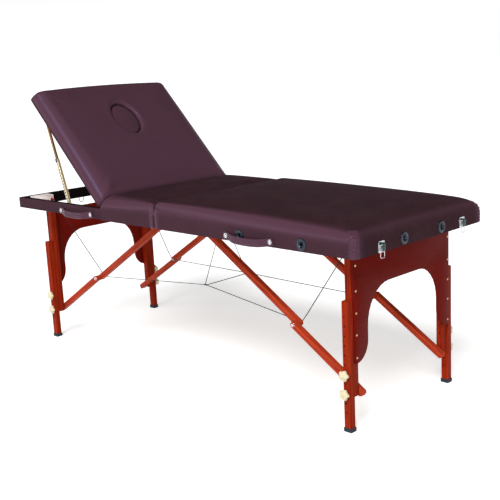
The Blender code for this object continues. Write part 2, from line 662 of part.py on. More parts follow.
def add_backrest(kit, back):
    """The raised board with its strut cleats, its pad and the plug in its face hole."""
    board = add_object("backrest_board",
                       box((-BACKREST_LENGTH + BOARD_INSET, -HINGE_EDGE),
                           (BOARD_INSET - HALF_WIDTH, HALF_WIDTH - BOARD_INSET),
                           (BOARD_BOTTOM, BOARD_TOP)), kit["plywood"], back)
    below = 2 * BOARD_TOP
    change(board, face_oval(0.0, -below, 2 * below), "DIFFERENCE")
    cleat_y = STRUT_Y - CHANNEL_WIDTH / 2 - SIDE_GAP
    pin_end = STRUT_Y - CHANNEL_WIDTH / 2 + CHANNEL_WALL - RUN_GAP
    pivot_z = BOARD_BOTTOM - STRUT_HEAD_DROP
    half_cleat = STRUT_HEAD_DROP - SIDE_GAP
    for side in SIDES.values():
        change(board, box((-STRUT_HEAD_U - half_cleat, -STRUT_HEAD_U + half_cleat),
                          spread(cleat_y - CLEAT_THICKNESS, cleat_y, side),
                          (pivot_z - half_cleat / 2, BOARD_BOTTOM + DECK_THICKNESS / 2)), "UNION")
        change(board, rod((-STRUT_HEAD_U, side * (cleat_y - CLEAT_THICKNESS / 2), pivot_z),
                          (-STRUT_HEAD_U, side * pin_end, pivot_z), STRUT_PIN_RADIUS), "UNION")
    shape = cushion_shape((-BACKREST_LENGTH, -HINGE_EDGE), HALF_WIDTH,
                          (BACK_PAD_BOTTOM, BACK_PAD_TOP), (BACK_END_RADIUS, FOLD_EDGE_RADIUS),
                          (CORNER_RADIUS, FOLD_CORNER_RADIUS),
                          (0.0, -CREASE_SLANT))
    pad = add_object("backrest_cushion", shape, kit["vinyl"], back)
    change(pad, face_oval(0.0, 0.0, 2 * BACK_PAD_TOP), "DIFFERENCE")
    plug_top = BACK_PAD_TOP - CROWN / 4
    plug = face_oval(PLUG_GAP, BACK_PAD_BOTTOM, plug_top)
    upper = [face for face in plug.faces if face.calc_center_median().z > plug_top - 1e-4]
    bmesh.ops.inset_region(plug, faces=upper, thickness=PLUG_RIM, depth=PLUG_DOME)
    add_object("face_plug", plug, kit["vinyl"], back, (-FACE_HOLE_U, 0, BACK_PAD_BOTTOM))


# Backrest struts, each a channel on the frame with a bar that slides in it

def strut_line():
    """The strut's lower pivot, its direction and its length with the backrest raised."""
    foot = Vector((-STRUT_FOOT_X, STRUT_FOOT_Z))
    cosine, sine = math.cos(BACKREST_ANGLE), math.sin(BACKREST_ANGLE)
    u, v = STRUT_HEAD_U, BOARD_BOTTOM - STRUT_HEAD_DROP
    head = Vector((-BACKREST_HINGE_X - u * cosine + v * sine, BACK_AXIS_Z + u * sine + v * cosine))
    line = head - foot
    return foot, line.normalized(), line.length


def add_strut(kit, side, strut):
    """A channel and its bar, modelled along the strut empty's own z axis."""
    hand = SIDES[side]
    length = strut_line()[2]
    wide = spread(STRUT_Y - CHANNEL_WIDTH / 2, STRUT_Y + CHANNEL_WIDTH / 2, hand)
    slot = CHANNEL_WIDTH / 2 - CHANNEL_WALL
    slot_y = spread(STRUT_Y - slot, STRUT_Y + slot, hand)
    deep = CHANNEL_DEPTH / 2
    channel = add_object(f"strut_channel_{side}", box((-deep, deep), wide,
                                                      (-deep, CHANNEL_LENGTH), SIDE_GAP),
                         kit["zinc"], strut)
    change(channel, box((CHANNEL_WALL - deep, deep - CHANNEL_WALL), slot_y,
                        (deep + SIDE_GAP, CHANNEL_LENGTH + deep)), "DIFFERENCE")
    change(channel, rod((0, hand * (STRUT_Y - CHANNEL_WIDTH), 0),
                        (0, hand * (STRUT_Y + CHANNEL_WIDTH), 0), STRUT_PIN_RADIUS + SEAT_GAP),
           "DIFFERENCE")
    bar_half = slot - SEAT_GAP
    bar_deep = deep - CHANNEL_WALL - SEAT_GAP
    bar_foot = CHANNEL_LENGTH - BAR_LAP
    bar = box((-bar_deep, bar_deep), spread(STRUT_Y - bar_half, STRUT_Y + bar_half, hand),
              (bar_foot, length + bar_deep))
    bar_object = add_object(f"strut_bar_{side}", bar, kit["zinc"], strut, (0, 0, bar_foot))
    change(bar_object, rod((0, hand * (STRUT_Y - CHANNEL_WIDTH), length),
                           (0, hand * (STRUT_Y + CHANNEL_WIDTH), length), STRUT_PIN_RADIUS),
           "DIFFERENCE")


# Legs

def leg_outline(sign):
    """A main leg seen from the side, rounded at its top round the pivot."""
    low, high = LEG_X, LEG_OUTER_X
    top = LEG_PIVOT_Z + LEG_TOP_RADIUS
    points = [(low, LEG_BOTTOM), (high, LEG_BOTTOM)]
    points += arc((high - LEG_TOP_RADIUS, top - LEG_TOP_RADIUS), LEG_TOP_RADIUS, 0, 90, CORNER_STEPS)
    points += arc((low + LEG_TOP_RADIUS, top - LEG_TOP_RADIUS), LEG_TOP_RADIUS, 90, 180, CORNER_STEPS)
    return [(sign * px, pz) for px, pz in points]


def add_leg(kit, end, side, half):
    """A main leg with its pivot bolt and the two bores for the height knobs."""
    sign, hand = ENDS[end], SIDES[side]
    pivot = (sign * LEG_PIVOT_X, 0, LEG_PIVOT_Z)
    shape = plate(leg_outline(sign), spread(LEG_INNER_Y, LEG_OUTER_Y, hand))
    leg = add_object(f"{end}_leg_{side}", shape, kit["stained"], half, pivot)
    change(leg, rod((pivot[0], hand * (LEG_INNER_Y + PIN_ENTRY), LEG_PIVOT_Z),
                    (pivot[0], hand * (LEG_OUTER_Y + PIVOT_PIN_REACH), LEG_PIVOT_Z),
                    PIVOT_PIN_RADIUS), "UNION")
    change(leg, rod((pivot[0], hand * (LEG_INNER_Y - BOLT_HEAD_HEIGHT), LEG_PIVOT_Z),
                    (pivot[0], hand * (LEG_INNER_Y + PIN_ENTRY), LEG_PIVOT_Z),
                    BOLT_HEAD_RADIUS), "UNION")
    bores = bmesh.new()
    for number in KNOB_HOLES:
        add_rod(bores, (sign * HOLE_X, hand * (LEG_INNER_Y - LEG_WIDTH), number * HOLE_PITCH),
                (sign * HOLE_X, hand * (LEG_OUTER_Y + LEG_WIDTH), number * HOLE_PITCH), HOLE_RADIUS)
    change(leg, bores, "DIFFERENCE")


def apron_outline():
    """Half of the arched apron, from the top middle down its edge and back along the arch."""
    tip_height = ARCH_KNEE_Z - APRON_TIP_Z
    points = [(0.0, APRON_TOP), (LEG_OUTER_Y, APRON_TOP)]
    points += arc((LEG_OUTER_Y - APRON_TIP_ROUND, APRON_TIP_Z + APRON_TIP_ROUND),
                  APRON_TIP_ROUND, 0, -90, CORNER_STEPS)
    points += arc((APRON_TIP_Y, ARCH_KNEE_Z),
                  (APRON_TIP_Y - ARCH_SIDE_Y, tip_height), APRON_TIP_ANGLE, 180, TIP_STEPS)
    points += arc((ARCH_FLAT_Y, ARCH_SHOULDER_Z),
                  (ARCH_SIDE_Y - ARCH_FLAT_Y, ARCH_TOP_Z - ARCH_SHOULDER_Z), 0, 90, END_STEPS)
    return points


def add_apron(kit, end, half):
    """The arched plywood panel that joins the two legs of one end."""
    sign = ENDS[end]
    edge = apron_outline()
    outline = edge + [(-py, pz) for py, pz in reversed(edge[1:])]
    bm = plate(outline, (0.0, APRON_THICKNESS))
    quarter = Matrix(((0, sign, 0, sign * APRON_X), (1, 0, 0, 0), (0, 0, 1, 0), (0, 0, 0, 1)))
    bmesh.ops.transform(bm, matrix=quarter, verts=bm.verts)
    add_object(end + "_apron", bm, kit["apron"], half, (sign * LEG_PIVOT_X, 0, LEG_PIVOT_Z))


def add_extension(kit, end, side, half):
    """A sliding leg extension with its row of height holes, and its rubber foot."""
    sign, hand = ENDS[end], SIDES[side]
    across = spread(EXTENSION_X, EXTENSION_X + EXTENSION_DEPTH, sign)
    deep = spread(EXTENSION_INNER_Y, EXTENSION_OUTER_Y, hand)
    line = (sum(across) / 2, sum(deep) / 2, 0.0)
    extension = add_object(f"{end}_extension_{side}",
                           box(across, deep, (FOOT_FLOOR + SEAT_GAP, EXTENSION_TOP), WOOD_EDGE),
                           kit["stained"], half, line)
    bores = bmesh.new()
    for number in range(FIRST_HOLE, LAST_HOLE + 1):
        add_rod(bores, (sign * HOLE_X, hand * (EXTENSION_INNER_Y - LEG_WIDTH), number * HOLE_PITCH),
                (sign * HOLE_X, hand * (EXTENSION_OUTER_Y + LEG_WIDTH), number * HOLE_PITCH),
                HOLE_RADIUS, HOLE_SIDES)
    change(extension, bores, "DIFFERENCE")
    grow = FOOT_WALL + SEAT_GAP
    foot = add_object(f"{end}_foot_{side}",
                      box((across[0] - grow, across[1] + grow), (deep[0] - grow, deep[1] + grow),
                          (0.0, FOOT_HEIGHT), SIDE_GAP), kit["rubber"], half, line)
    change(foot, box((across[0] - SEAT_GAP, across[1] + SEAT_GAP),
                     (deep[0] - SEAT_GAP, deep[1] + SEAT_GAP),
                     (FOOT_FLOOR, 2 * FOOT_HEIGHT)), "DIFFERENCE")


def add_knob(kit, end, side, number, half):
    """A star knob and its stud, which passes through the extension into the leg."""
    sign, hand = ENDS[end], SIDES[side]
    axis = (sign * HOLE_X, 0, number * HOLE_PITCH)
    steps = LOBE_STEPS * KNOB_LOBES
    outline = []
    for step in range(steps):
        angle = 2 * math.pi * step / steps
        radius = KNOB_RADIUS + KNOB_LOBE * math.cos(KNOB_LOBES * angle)
        outline.append((axis[0] + radius * math.sin(angle), axis[2] + radius * math.cos(angle)))
    face_y = EXTENSION_OUTER_Y + RUN_GAP
    shape = plate(outline, spread(face_y, face_y + KNOB_THICKNESS, hand))
    rims = [edge for edge in shape.edges if abs(edge.verts[0].co.y - edge.verts[1].co.y) < 1e-6]
    bmesh.ops.bevel(shape, geom=rims, offset=KNOB_LOBE, segments=1, profile=0.5, affect="EDGES",
                    material=-1)
    place = "lower" if number == KNOB_HOLES[0] else "upper"
    knob = add_object(f"{end}_knob_{side}_{place}", shape, kit["cream"], half,
                      (axis[0], hand * face_y, axis[2]))
    change(knob, rod((axis[0], hand * (LEG_OUTER_Y - STUD_DEPTH), axis[2]),
                     (axis[0], hand * (face_y + KNOB_THICKNESS / 2), axis[2]), STUD_RADIUS),
           "UNION")


# Braces

def link_outline(length, tail):
    """A brace link along x: a round end at 0, and a round or squared end past its length."""
    half = LINK_DEPTH / 2
    points = arc((0.0, 0.0), half, 90, 270, END_STEPS)
    if tail:
        ease = half / 2
        end = length + tail
        points += [(end - ease, -half), (end, ease - half), (end, half - ease), (end - ease, half)]
    else:
        points += arc((length, 0.0), half, -90, 90, END_STEPS)
    return points


def slanted(points, sign):
    """Move link points from the x axis to the line of a brace, from its elbow or frame end."""
    start, outline = points
    cosine, sine = math.cos(BRACE_SLOPE), math.sin(BRACE_SLOPE)
    placed = []
    for px, pz in outline:
        placed.append((sign * (start[0] + px * cosine + pz * sine), start[1] - px * sine + pz * cosine))
    return placed


def add_brace(kit, end, side, half):
    """The upper and lower links of one brace, side by side at their elbow."""
    sign, hand = ENDS[end], SIDES[side]
    start = (BRACE_PIVOT_X, BRACE_PIVOT_Z)
    upper_y = spread(UPPER_LINK_IN_Y, UPPER_LINK_OUT_Y, hand)
    shape = plate(slanted((start, link_outline(UPPER_LENGTH, 0.0)), sign), upper_y)
    upper = add_object(f"{end}_upper_brace_{side}", shape, kit["stained"], half,
                       (sign * BRACE_PIVOT_X, 0, BRACE_PIVOT_Z))
    change(upper, rod((sign * BRACE_PIVOT_X, hand * (UPPER_LINK_IN_Y - PIN_ENTRY), BRACE_PIVOT_Z),
                      (sign * BRACE_PIVOT_X, hand * (UPPER_LINK_OUT_Y + PIN_ENTRY), BRACE_PIVOT_Z),
                      BRACE_PIN_RADIUS + SEAT_GAP), "DIFFERENCE")
    change(upper, rod((sign * ELBOW_X, hand * (UPPER_LINK_IN_Y - BOLT_HEAD_HEIGHT), ELBOW_Z),
                      (sign * ELBOW_X, hand * (UPPER_LINK_IN_Y + PIN_ENTRY), ELBOW_Z),
                      BOLT_HEAD_RADIUS), "UNION")
    elbow = (ELBOW_X, ELBOW_Z)
    lower_y = spread(LOWER_LINK_IN_Y, LOWER_LINK_OUT_Y, hand)
    shape = plate(slanted((elbow, link_outline(LOWER_LENGTH, LINK_TAIL)), sign), lower_y)
    lower = add_object(f"{end}_lower_brace_{side}", shape, kit["stained"], half,
                       (sign * HOLE_X, 0, BRACE_FOOT_Z))
    change(lower, rod((sign * ELBOW_X, hand * (LOWER_LINK_OUT_Y - PIN_ENTRY), ELBOW_Z),
                      (sign * ELBOW_X, hand * (LOWER_LINK_OUT_Y + BOLT_HEAD_HEIGHT), ELBOW_Z),
                      BOLT_HEAD_RADIUS), "UNION")
    change(lower, rod((sign * HOLE_X, hand * (LOWER_LINK_OUT_Y - PIN_ENTRY), BRACE_FOOT_Z),
                      (sign * HOLE_X, hand * (LEG_INNER_Y + PIN_ENTRY), BRACE_FOOT_Z),
                      STUD_RADIUS), "UNION")


# Latches and cables

def add_latch(kit, side, half):
    """A draw latch on the foot end: a plate with a barrel, and a bail that hangs from it."""
    middle = SIDES[side] * LATCH_Y
    wall = HALF_LENGTH + SEAT_GAP
    axis_x = wall + LATCH_AXIS_OUT
    base = add_object("latch_plate_" + side,
                      box((wall, wall + LATCH_THICKNESS),
                          (middle - LATCH_WIDTH / 2, middle + LATCH_WIDTH / 2),
                          (FRAME_BOTTOM, FRAME_BOTTOM + LATCH_HEIGHT)), kit["chrome"], half,
                      FOLD_POINT)
    barrel = BAIL_WIDTH / 2 - BAIL_WIRE - RUN_GAP
    change(base, rod((axis_x, middle - barrel, LATCH_AXIS_Z),
                     (axis_x, middle + barrel, LATCH_AXIS_Z), LATCH_BARREL), "UNION")
    change(base, box((wall + LATCH_THICKNESS / 2, axis_x), (middle - barrel, middle + barrel),
                     (LATCH_AXIS_Z - LATCH_BARREL / 2, LATCH_AXIS_Z + LATCH_BARREL / 2)), "UNION")
    change(base, rod((axis_x, middle - BAIL_WIDTH, LATCH_AXIS_Z),
                     (axis_x, middle + BAIL_WIDTH, LATCH_AXIS_Z), BAIL_WIRE + SEAT_GAP),
           "DIFFERENCE")
    wire = bmesh.new()
    low, high = middle - BAIL_WIDTH / 2, middle + BAIL_WIDTH / 2
    corners = ((low, LATCH_AXIS_Z), (high, LATCH_AXIS_Z), (high, BAIL_BOTTOM), (low, BAIL_BOTTOM))
    add_rod(wire, (axis_x, low - BAIL_WIRE, LATCH_AXIS_Z), (axis_x, high + BAIL_WIRE, LATCH_AXIS_Z),
            BAIL_WIRE, WIRE_SIDES)
    bail = add_object("latch_bail_" + side, wire, kit["chrome"], half, (axis_x, 0, LATCH_AXIS_Z))
    for n in (1, 3):
        first, second = sorted((corners[n], corners[(n + 1) % 4]), key=lambda place: place[1])
        change(bail, rod((axis_x, first[0], first[1] - BAIL_WIRE / 2), (axis_x, second[0], second[1]),
                         BAIL_WIRE * BAIL_SIDE_SHARE, WIRE_SIDES), "UNION")
    change(bail, rod((axis_x, low - BAIL_WIRE, BAIL_BOTTOM), (axis_x, high + BAIL_WIRE, BAIL_BOTTOM),
                     BAIL_WIRE, WIRE_SIDES), "UNION")


def cable_route(end):
    """A cable's corners: leg pivot, elbow, tee, then across or up to the fold, and mirrored."""
    sign = ENDS[end]
    bolt_y = LEG_INNER_Y - BOLT_HEAD_HEIGHT - SEAT_GAP - CABLE_RADIUS
    elbow_y = UPPER_LINK_IN_Y - BOLT_HEAD_HEIGHT - SEAT_GAP - CABLE_RADIUS
    run = CABLE_LEAD / math.hypot(LEG_PIVOT_X - ELBOW_X, LEG_PIVOT_Z - ELBOW_Z)
    lead_x = ELBOW_X + (LEG_PIVOT_X - ELBOW_X) * run
    lead_z = ELBOW_Z + (LEG_PIVOT_Z - ELBOW_Z) * run
    near = [(sign * LEG_PIVOT_X, bolt_y, LEG_PIVOT_Z), (sign * lead_x, elbow_y, lead_z),
            (sign * ELBOW_X, elbow_y, ELBOW_Z), (sign * CABLE_TEE_X, CABLE_TEE_Y, CABLE_TEE_Z)]
    far = [(px, -py, pz) for px, py, pz in reversed(near)]
    top = FOLD_AXIS_Z - FOLD_KNUCKLE_RADIUS - SEAT_GAP - CABLE_RADIUS
    middle = [] if sign > 0 else [(sign * CABLE_TEE_X, 0.0, top)]
    return near + middle + far


def add_cable(kit, end, half):
    """The thin steel cable that holds the elbows of one half."""
    curve = bpy.data.curves.new(f"brace_cable_{end}", "CURVE")
    curve.dimensions = "3D"
    curve.bevel_depth = CABLE_RADIUS
    curve.bevel_resolution = 2
    curve.use_fill_caps = True
    route = cable_route(end)
    spline = curve.splines.new("POLY")
    spline.points.add(len(route) - 1)
    for point, place in zip(spline.points, route):
        point.co = (*(Vector(place) - Vector(FOLD_POINT)), 1.0)
    cable = bpy.data.objects.new(curve.name, curve)
    cable.location = FOLD_POINT
    cable.parent = half
    curve.materials.append(kit["cable"])
    bpy.context.scene.collection.objects.link(cable)


def main():
    """Build the whole table."""
    clear_scene()
    kit = finishes()
    half = {"foot": axis_empty("foot_half", (0, 0, 0)), "head": axis_empty("head_half", (0, 0, 0))}
    back = axis_empty("backrest_axis", (-BACKREST_HINGE_X, 0, BACK_AXIS_Z), BACKREST_ANGLE)
    foot, direction, _ = strut_line()
    strut = axis_empty("strut_axis", (foot.x, 0, foot.y), math.atan2(direction.x, direction.y))
    for end in ENDS:
        add_frame(kit, end, half[end])
        add_deck(kit, end, half[end])
        add_handle(kit, end, half[end])
        add_fold_leaf(kit, end, half[end])
        add_apron(kit, end, half[end])
        add_cable(kit, end, half[end])
        for side in SIDES:
            add_corner_block(kit, end, side, half[end])
            add_leg(kit, end, side, half[end])
            add_extension(kit, end, side, half[end])
            add_brace(kit, end, side, half[end])
            for number in KNOB_HOLES:
                add_knob(kit, end, side, number, half[end])
    add_fold_pin(kit)
    add_foot_cushion(kit, half["foot"])
    add_head_cushion(kit, half["head"])
    add_backrest(kit, back)
    add_backrest_hinge(kit, half["head"], back)
    for side in SIDES:
        add_strut(kit, side, strut)
        add_latch(kit, side, half["foot"])


main()
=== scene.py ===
"""Looks of a folding massage table, laid out as an add-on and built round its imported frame.

Metres, +Z up. +X is the foot end, -Y the near side with the carrying handles, and the fold is
at x = 0. Each piece sits where the frame's own node is and rides on its body.
"""

import json
import math

import bmesh
import bpy
from mathutils import Matrix, Vector


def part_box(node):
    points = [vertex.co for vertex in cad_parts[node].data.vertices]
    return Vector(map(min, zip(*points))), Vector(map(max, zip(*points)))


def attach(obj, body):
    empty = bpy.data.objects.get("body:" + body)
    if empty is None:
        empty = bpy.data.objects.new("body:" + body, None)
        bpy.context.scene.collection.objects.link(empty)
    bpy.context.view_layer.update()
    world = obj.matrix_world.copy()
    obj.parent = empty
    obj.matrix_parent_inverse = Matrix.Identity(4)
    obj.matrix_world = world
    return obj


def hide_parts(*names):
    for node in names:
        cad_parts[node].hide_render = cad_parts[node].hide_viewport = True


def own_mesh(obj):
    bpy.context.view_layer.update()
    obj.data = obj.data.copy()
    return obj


bl_info = {
    "name": "Folding massage table",
    "version": (1, 0, 0),
    "blender": (4, 5, 0),
    "location": "3D View > Sidebar > Table",
    "description": "Builds the pads, woodwork and fittings of a folding massage table",
    "category": "Object",
}

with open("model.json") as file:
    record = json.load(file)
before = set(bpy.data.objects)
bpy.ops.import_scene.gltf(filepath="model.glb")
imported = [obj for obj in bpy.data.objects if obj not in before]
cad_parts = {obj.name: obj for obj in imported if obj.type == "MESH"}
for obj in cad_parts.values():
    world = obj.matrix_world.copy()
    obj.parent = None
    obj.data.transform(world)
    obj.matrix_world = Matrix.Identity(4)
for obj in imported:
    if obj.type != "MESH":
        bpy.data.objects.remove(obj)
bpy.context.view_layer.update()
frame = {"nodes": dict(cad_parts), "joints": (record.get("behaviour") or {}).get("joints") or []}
NODES = frame["nodes"]
JOINTS = {joint["name"]: joint for joint in frame["joints"]}
ENDS = {"foot": 1, "head": -1}
SIDES = {"near": -1, "far": 1}
PLACES = ("lower", "upper")

# Places taken from the frame
RAIL_LOW, RAIL_HIGH = (Vector(corner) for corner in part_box("foot_frame"))
DECK_HIGH = Vector(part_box("foot_deck")[1])
PAD_HIGH = Vector(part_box("foot_cushion")[1])
APRON_HIGH = Vector(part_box("foot_apron")[1])
EXTENSION_HIGH = Vector(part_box("foot_extension_far")[1])
BACK_HINGE = Vector(JOINTS["backrest_recline"]["pos_m"])
BACK_ANGLE = math.radians(JOINTS["backrest_recline"]["range_deg"][1])
BACK_PLACE = Matrix.Translation(BACK_HINGE) @ Matrix.Rotation(BACK_ANGLE, 4, "Y")
LEG_PIVOT = Vector(JOINTS["foot_leg_fold"]["pos_m"])

# Places that repeat the part's own sizes
RAIL_WIDTH = 0.022
RAIL_IN_X = RAIL_HIGH.x - RAIL_WIDTH
RAIL_IN_Y = RAIL_HIGH.y - RAIL_WIDTH
LEG_IN_Y = 0.2413
LINK_IN_Y = 0.1955
LINK_OUT_Y = 0.2385
SHORT_PAD_X = 0.334
BOARD_THICKNESS = 0.006
CREASE_SLANT = math.tan(math.radians(21))
BRACE_TOP = Vector((0.050, 0.0, 0.618))
BRACE_FOOT = Vector((0.832, 0.0, 0.128))
ELBOW = BRACE_TOP + (BRACE_FOOT - BRACE_TOP) * 0.6592
BRACE_SLOPE = math.atan2(BRACE_TOP.z - BRACE_FOOT.z, BRACE_FOOT.x - BRACE_TOP.x)
SOCKET_Z = 0.612
SOCKET_X = (0.447, 0.720)
SOCKET_Y = 0.104
SOCKET_BORE = 0.0085
HANDLE_X = 0.490
HANDLE_Z = 0.604
LATCH_Y = 0.225
STRUT_FOOT = Vector((-0.580, 0.0, 0.617))
STRUT_HEAD = Vector((-0.518, 0.0, -0.011))
STRUT_Y = 0.3185
SLOT_COUNT = 13
SLOT_PITCH = 0.0122
SLOT_FIRST = 0.036
APRON_SCREWS = (0.544, 0.463, 0.391, 0.320, 0.245)
APRON_SCREW_Y = 0.2575

# Air under a fitting, and between the rails and the vinyl drawn over them
SEAT = 0.0004
LINING = 0.0003
# How far the vinyl reaches below the rails and past the backrest's sides
HEM = 0.0012
# Half the gap between the two pads at the fold, and the air round the face plug
FOLD_GAP = 0.0006
PLUG_GAP = 0.0006
# How much smaller the decks are than the rails under them
DECK_TRIM = 0.0045
# Room above a pad's edge that its swelling skin takes up
SWELL_ROOM = 0.003
# What a shape has over at an end that is cut away later
SPARE = 0.02

# The photograph's camera: degrees round, up and rolled, where it looks and from how far, in metres
CAMERA_ANGLES = (45.38, 12.36, -2.87)
CAMERA_TARGET = Vector((0.314, -0.174, 0.513))
CAMERA_DISTANCE = 3.206
FOCAL_PIXELS = 897.9
PICTURE_PIXELS = 500
SENSOR_MM = 36.0
# Each light's direction, strength and width in degrees
LIGHTS = {
    "key_light": ((0.28, -0.58, 0.76), 2.4, 26),
    "left_light": ((-0.60, -0.75, 0.28), 0.35, 24),
    "camera_light": ((0.62, -0.77, 0.15), 0.5, 14),
}
WHITE = (1.0, 1.0, 1.0, 1.0)
# How brightly the floor shows by itself, in view and in reflections
FLOOR_LIFT = 0.60


def linear(code):
    """An sRGB hex colour as linear red, green and blue."""
    shares = [int(code[place:place + 2], 16) / 255 for place in (1, 3, 5)]
    return [share / 12.92 if share <= 0.04045 else ((share + 0.055) / 1.055) ** 2.4 for share in shares]


def length_setting(name, description, default):
    """A length that a user may change."""
    return bpy.props.FloatProperty(name=name, description=description, default=default, unit="LENGTH")


def colour_setting(name, description, code):
    """A colour that a user may change."""
    return bpy.props.FloatVectorProperty(
        name=name, description=description, default=linear(code), subtype="COLOR", min=0, max=1)


class TableSizes(bpy.types.PropertyGroup):
    """Sizes of the table's soft and small pieces."""
    pad_square: length_setting("Pad squares", "Size of the squares a pad is simulated in", 0.009)
    pad_edge: length_setting("Pad edge", "How far a pad's upper edge is rounded inwards", 0.038)
    pad_roll: length_setting(
        "Pad roll", "How far down a pad's sides the rounding of the upper edge reaches", 0.057)
    tight_edge: length_setting(
        "Tight edge", "How far the long edges are rounded inwards at the fold", 0.014)
    tight_roll: length_setting(
        "Tight roll", "How far down the rounding of the long edges reaches at the fold", 0.026)
    fold_edge: length_setting(
        "Fold edge", "Radius of a pad's edge at the fold and at the backrest's crease", 0.012)
    pad_corner: length_setting("Pad corner", "Radius of the wrapped corners at the foot end", 0.013)
    back_corner: length_setting("Backrest corner", "Radius of the backrest's upper corners", 0.013)
    back_bow: length_setting(
        "Backrest bow", "How far the backrest's upper edge bows out in its middle", 0.010)
    fold_lift: length_setting(
        "Lift at the fold", "How much thicker the foot half's pad is at the fold", 0.0095)
    end_drop: length_setting(
        "Drop at the end", "How much thinner the foot half's pad is at its end", 0.0030)
    pad_crown: length_setting("Pad crown", "How far a pad's middle stands above its edges", 0.006)
    vinyl: length_setting("Vinyl", "Thickness of the vinyl over the rails", 0.0014)
    swell: length_setting("Swell", "The furthest that a pad's skin may move when it is blown up", 0.004)
    pressure: bpy.props.FloatProperty(
        name="Pressure", description="Cloth pressure inside a pad", default=4.0)
    gather_pitch: length_setting("Gathers", "Distance between the gathers at a wrapped corner", 0.0110)
    gather_depth: length_setting("Gather depth", "Half the depth of a gather", 0.0015)
    wood_edge: length_setting(
        "Wood edge", "Width of the eased edges of legs, braces and aprons", 0.0018)
    knob_radius: length_setting("Knob", "Mean radius of a star knob", 0.0165)
    knob_lobe: length_setting(
        "Knob lobe", "How far a knob's lobes stand out and its hollows in", 0.0022)
    grommet_radius: length_setting(
        "Grommet", "Outer radius of the ring round an accessory socket", 0.0205)
    strap_height: length_setting("Strap height", "Height of a carrying handle's strap", 0.026)
    cable_radius: length_setting("Cable", "Radius of the brace cables", 0.0015)


class TableColours(bpy.types.PropertyGroup):
    """Colours of the table's finishes."""
    vinyl_deep: colour_setting("Vinyl, deep", "Hollows of the vinyl's grain", "#341f21")
    vinyl_light: colour_setting("Vinyl, light", "Tops of the vinyl's grain", "#442b2e")
    # The paler vinyl colour below is a painted sheen for the rolled, lit edges of the pads
    vinyl_stretched: colour_setting(
        "Vinyl, stretched", "Vinyl drawn tight over an edge, paler", "#573946")
    stain_dark: colour_setting("Stain, dark", "Dark lines in the stained beech", "#74170b")
    stain_light: colour_setting("Stain, light", "Light wood in the stained beech", "#ad3312")
    brace_dark: colour_setting("Brace, dark", "Dark lines in the paler beech of the braces", "#8c2415")
    brace_light: colour_setting(
        "Brace, light", "Light wood in the paler beech of the braces", "#d2502f")
    apron_dark: colour_setting("Apron, dark", "Dark figure in the aprons' veneer", "#69110a")
    apron_light: colour_setting("Apron, light", "Light figure in the aprons' veneer", "#77150b")
    # The raw wood colours are pushed near white, painted light for the shaded corner blocks
    raw_dark: colour_setting("Raw wood, dark", "Dark lines in the bare wood", "#f4e4e2")
    raw_light: colour_setting("Raw wood, light", "Light bare wood", "#fffafa")
    deck_dark: colour_setting("Deck, dark", "Dark figure in the deck's plywood", "#b48a58")
    deck_light: colour_setting("Deck, light", "Light figure in the deck's plywood", "#d4b284")
    zinc: colour_setting("Zinc", "Yellow zinc plate of the struts and the fold hinge", "#efe6cc")
    # The blackened colour is real on the backrest hinge and painted shade inside the strut channels
    oxide: colour_setting(
        "Black oxide", "Blackened steel of the backrest hinge and inside the struts", "#2a2622")
    bronze: colour_setting("Bronze zinc", "Brown zinc plate of the strut bars", "#a07c50")
    chrome: colour_setting("Chrome", "Chrome plate of latches and bolts", "#d6d8dc")
    brass: colour_setting("Brass", "Pale brass plate of the wood screws", "#d9c391")
    rubber: colour_setting("Rubber", "Blue-black rubber of the feet", "#1f2c38")
    socket: colour_setting("Socket plastic", "Blue-black plastic of the grommets", "#172233")
    # The lever's teal tint is a painted reflection of green surroundings
    lever: colour_setting("Lever plastic", "Dark teal plastic of the latch levers", "#0e3438")
    knob: colour_setting("Knob plastic", "Cream plastic of the star knobs", "#f3e8c4")
    cable: colour_setting("Cable", "Coated steel cable", "#16211f")
    # The black lining colour is painted shade for the rails' inner faces
    felt: colour_setting("Felt", "Black felt that lines the rails", "#171215")
    floor: colour_setting("Floor", "Pale studio floor", "#f2f2f2")


def sizes():
    """The sizes a user may change."""
    return bpy.context.scene.table_sizes


def colour(name, shares=(1.0, 1.0, 1.0)):
    """One of the finishes' colours with its alpha, its red, green and blue darkened to a share each."""
    full = getattr(bpy.context.scene.table_colours, name)
    return (*(part * share for part, share in zip(full, shares)), 1.0)


def clamped(value):
    """A value kept between 0 and 1."""
    return min(max(value, 0.0), 1.0)


def gentle(value):
    """A share from 0 to 1 that starts and ends gently."""
    share = clamped(value)
    return share * share * (3 - 2 * share)


def ridge(distance, width):
    """A share that is 1 on a line and falls off evenly on both sides of it."""
    return math.exp(-(distance / width) ** 2)


# Materials

def add_node(tree, kind, inputs=None, **settings):
    """Add a node with its settings, and set or link its inputs."""
    made = tree.nodes.new(kind)
    for setting, value in settings.items():
        setattr(made, setting, value)
    for socket, value in (inputs or {}).items():
        if isinstance(value, bpy.types.NodeSocket):
            tree.links.new(value, made.inputs[socket])
        else:
            made.inputs[socket].default_value = value
    return made


def new_finish(name, **values):
    """A new material and its shader, with the values that are the same all over."""
    made = bpy.data.materials.new(name)
    made.use_nodes = True
    shader = made.node_tree.nodes["Principled BSDF"]
    for socket, value in values.items():
        shader.inputs[socket.replace("_", " ")].default_value = value
    return made, made.node_tree, shader


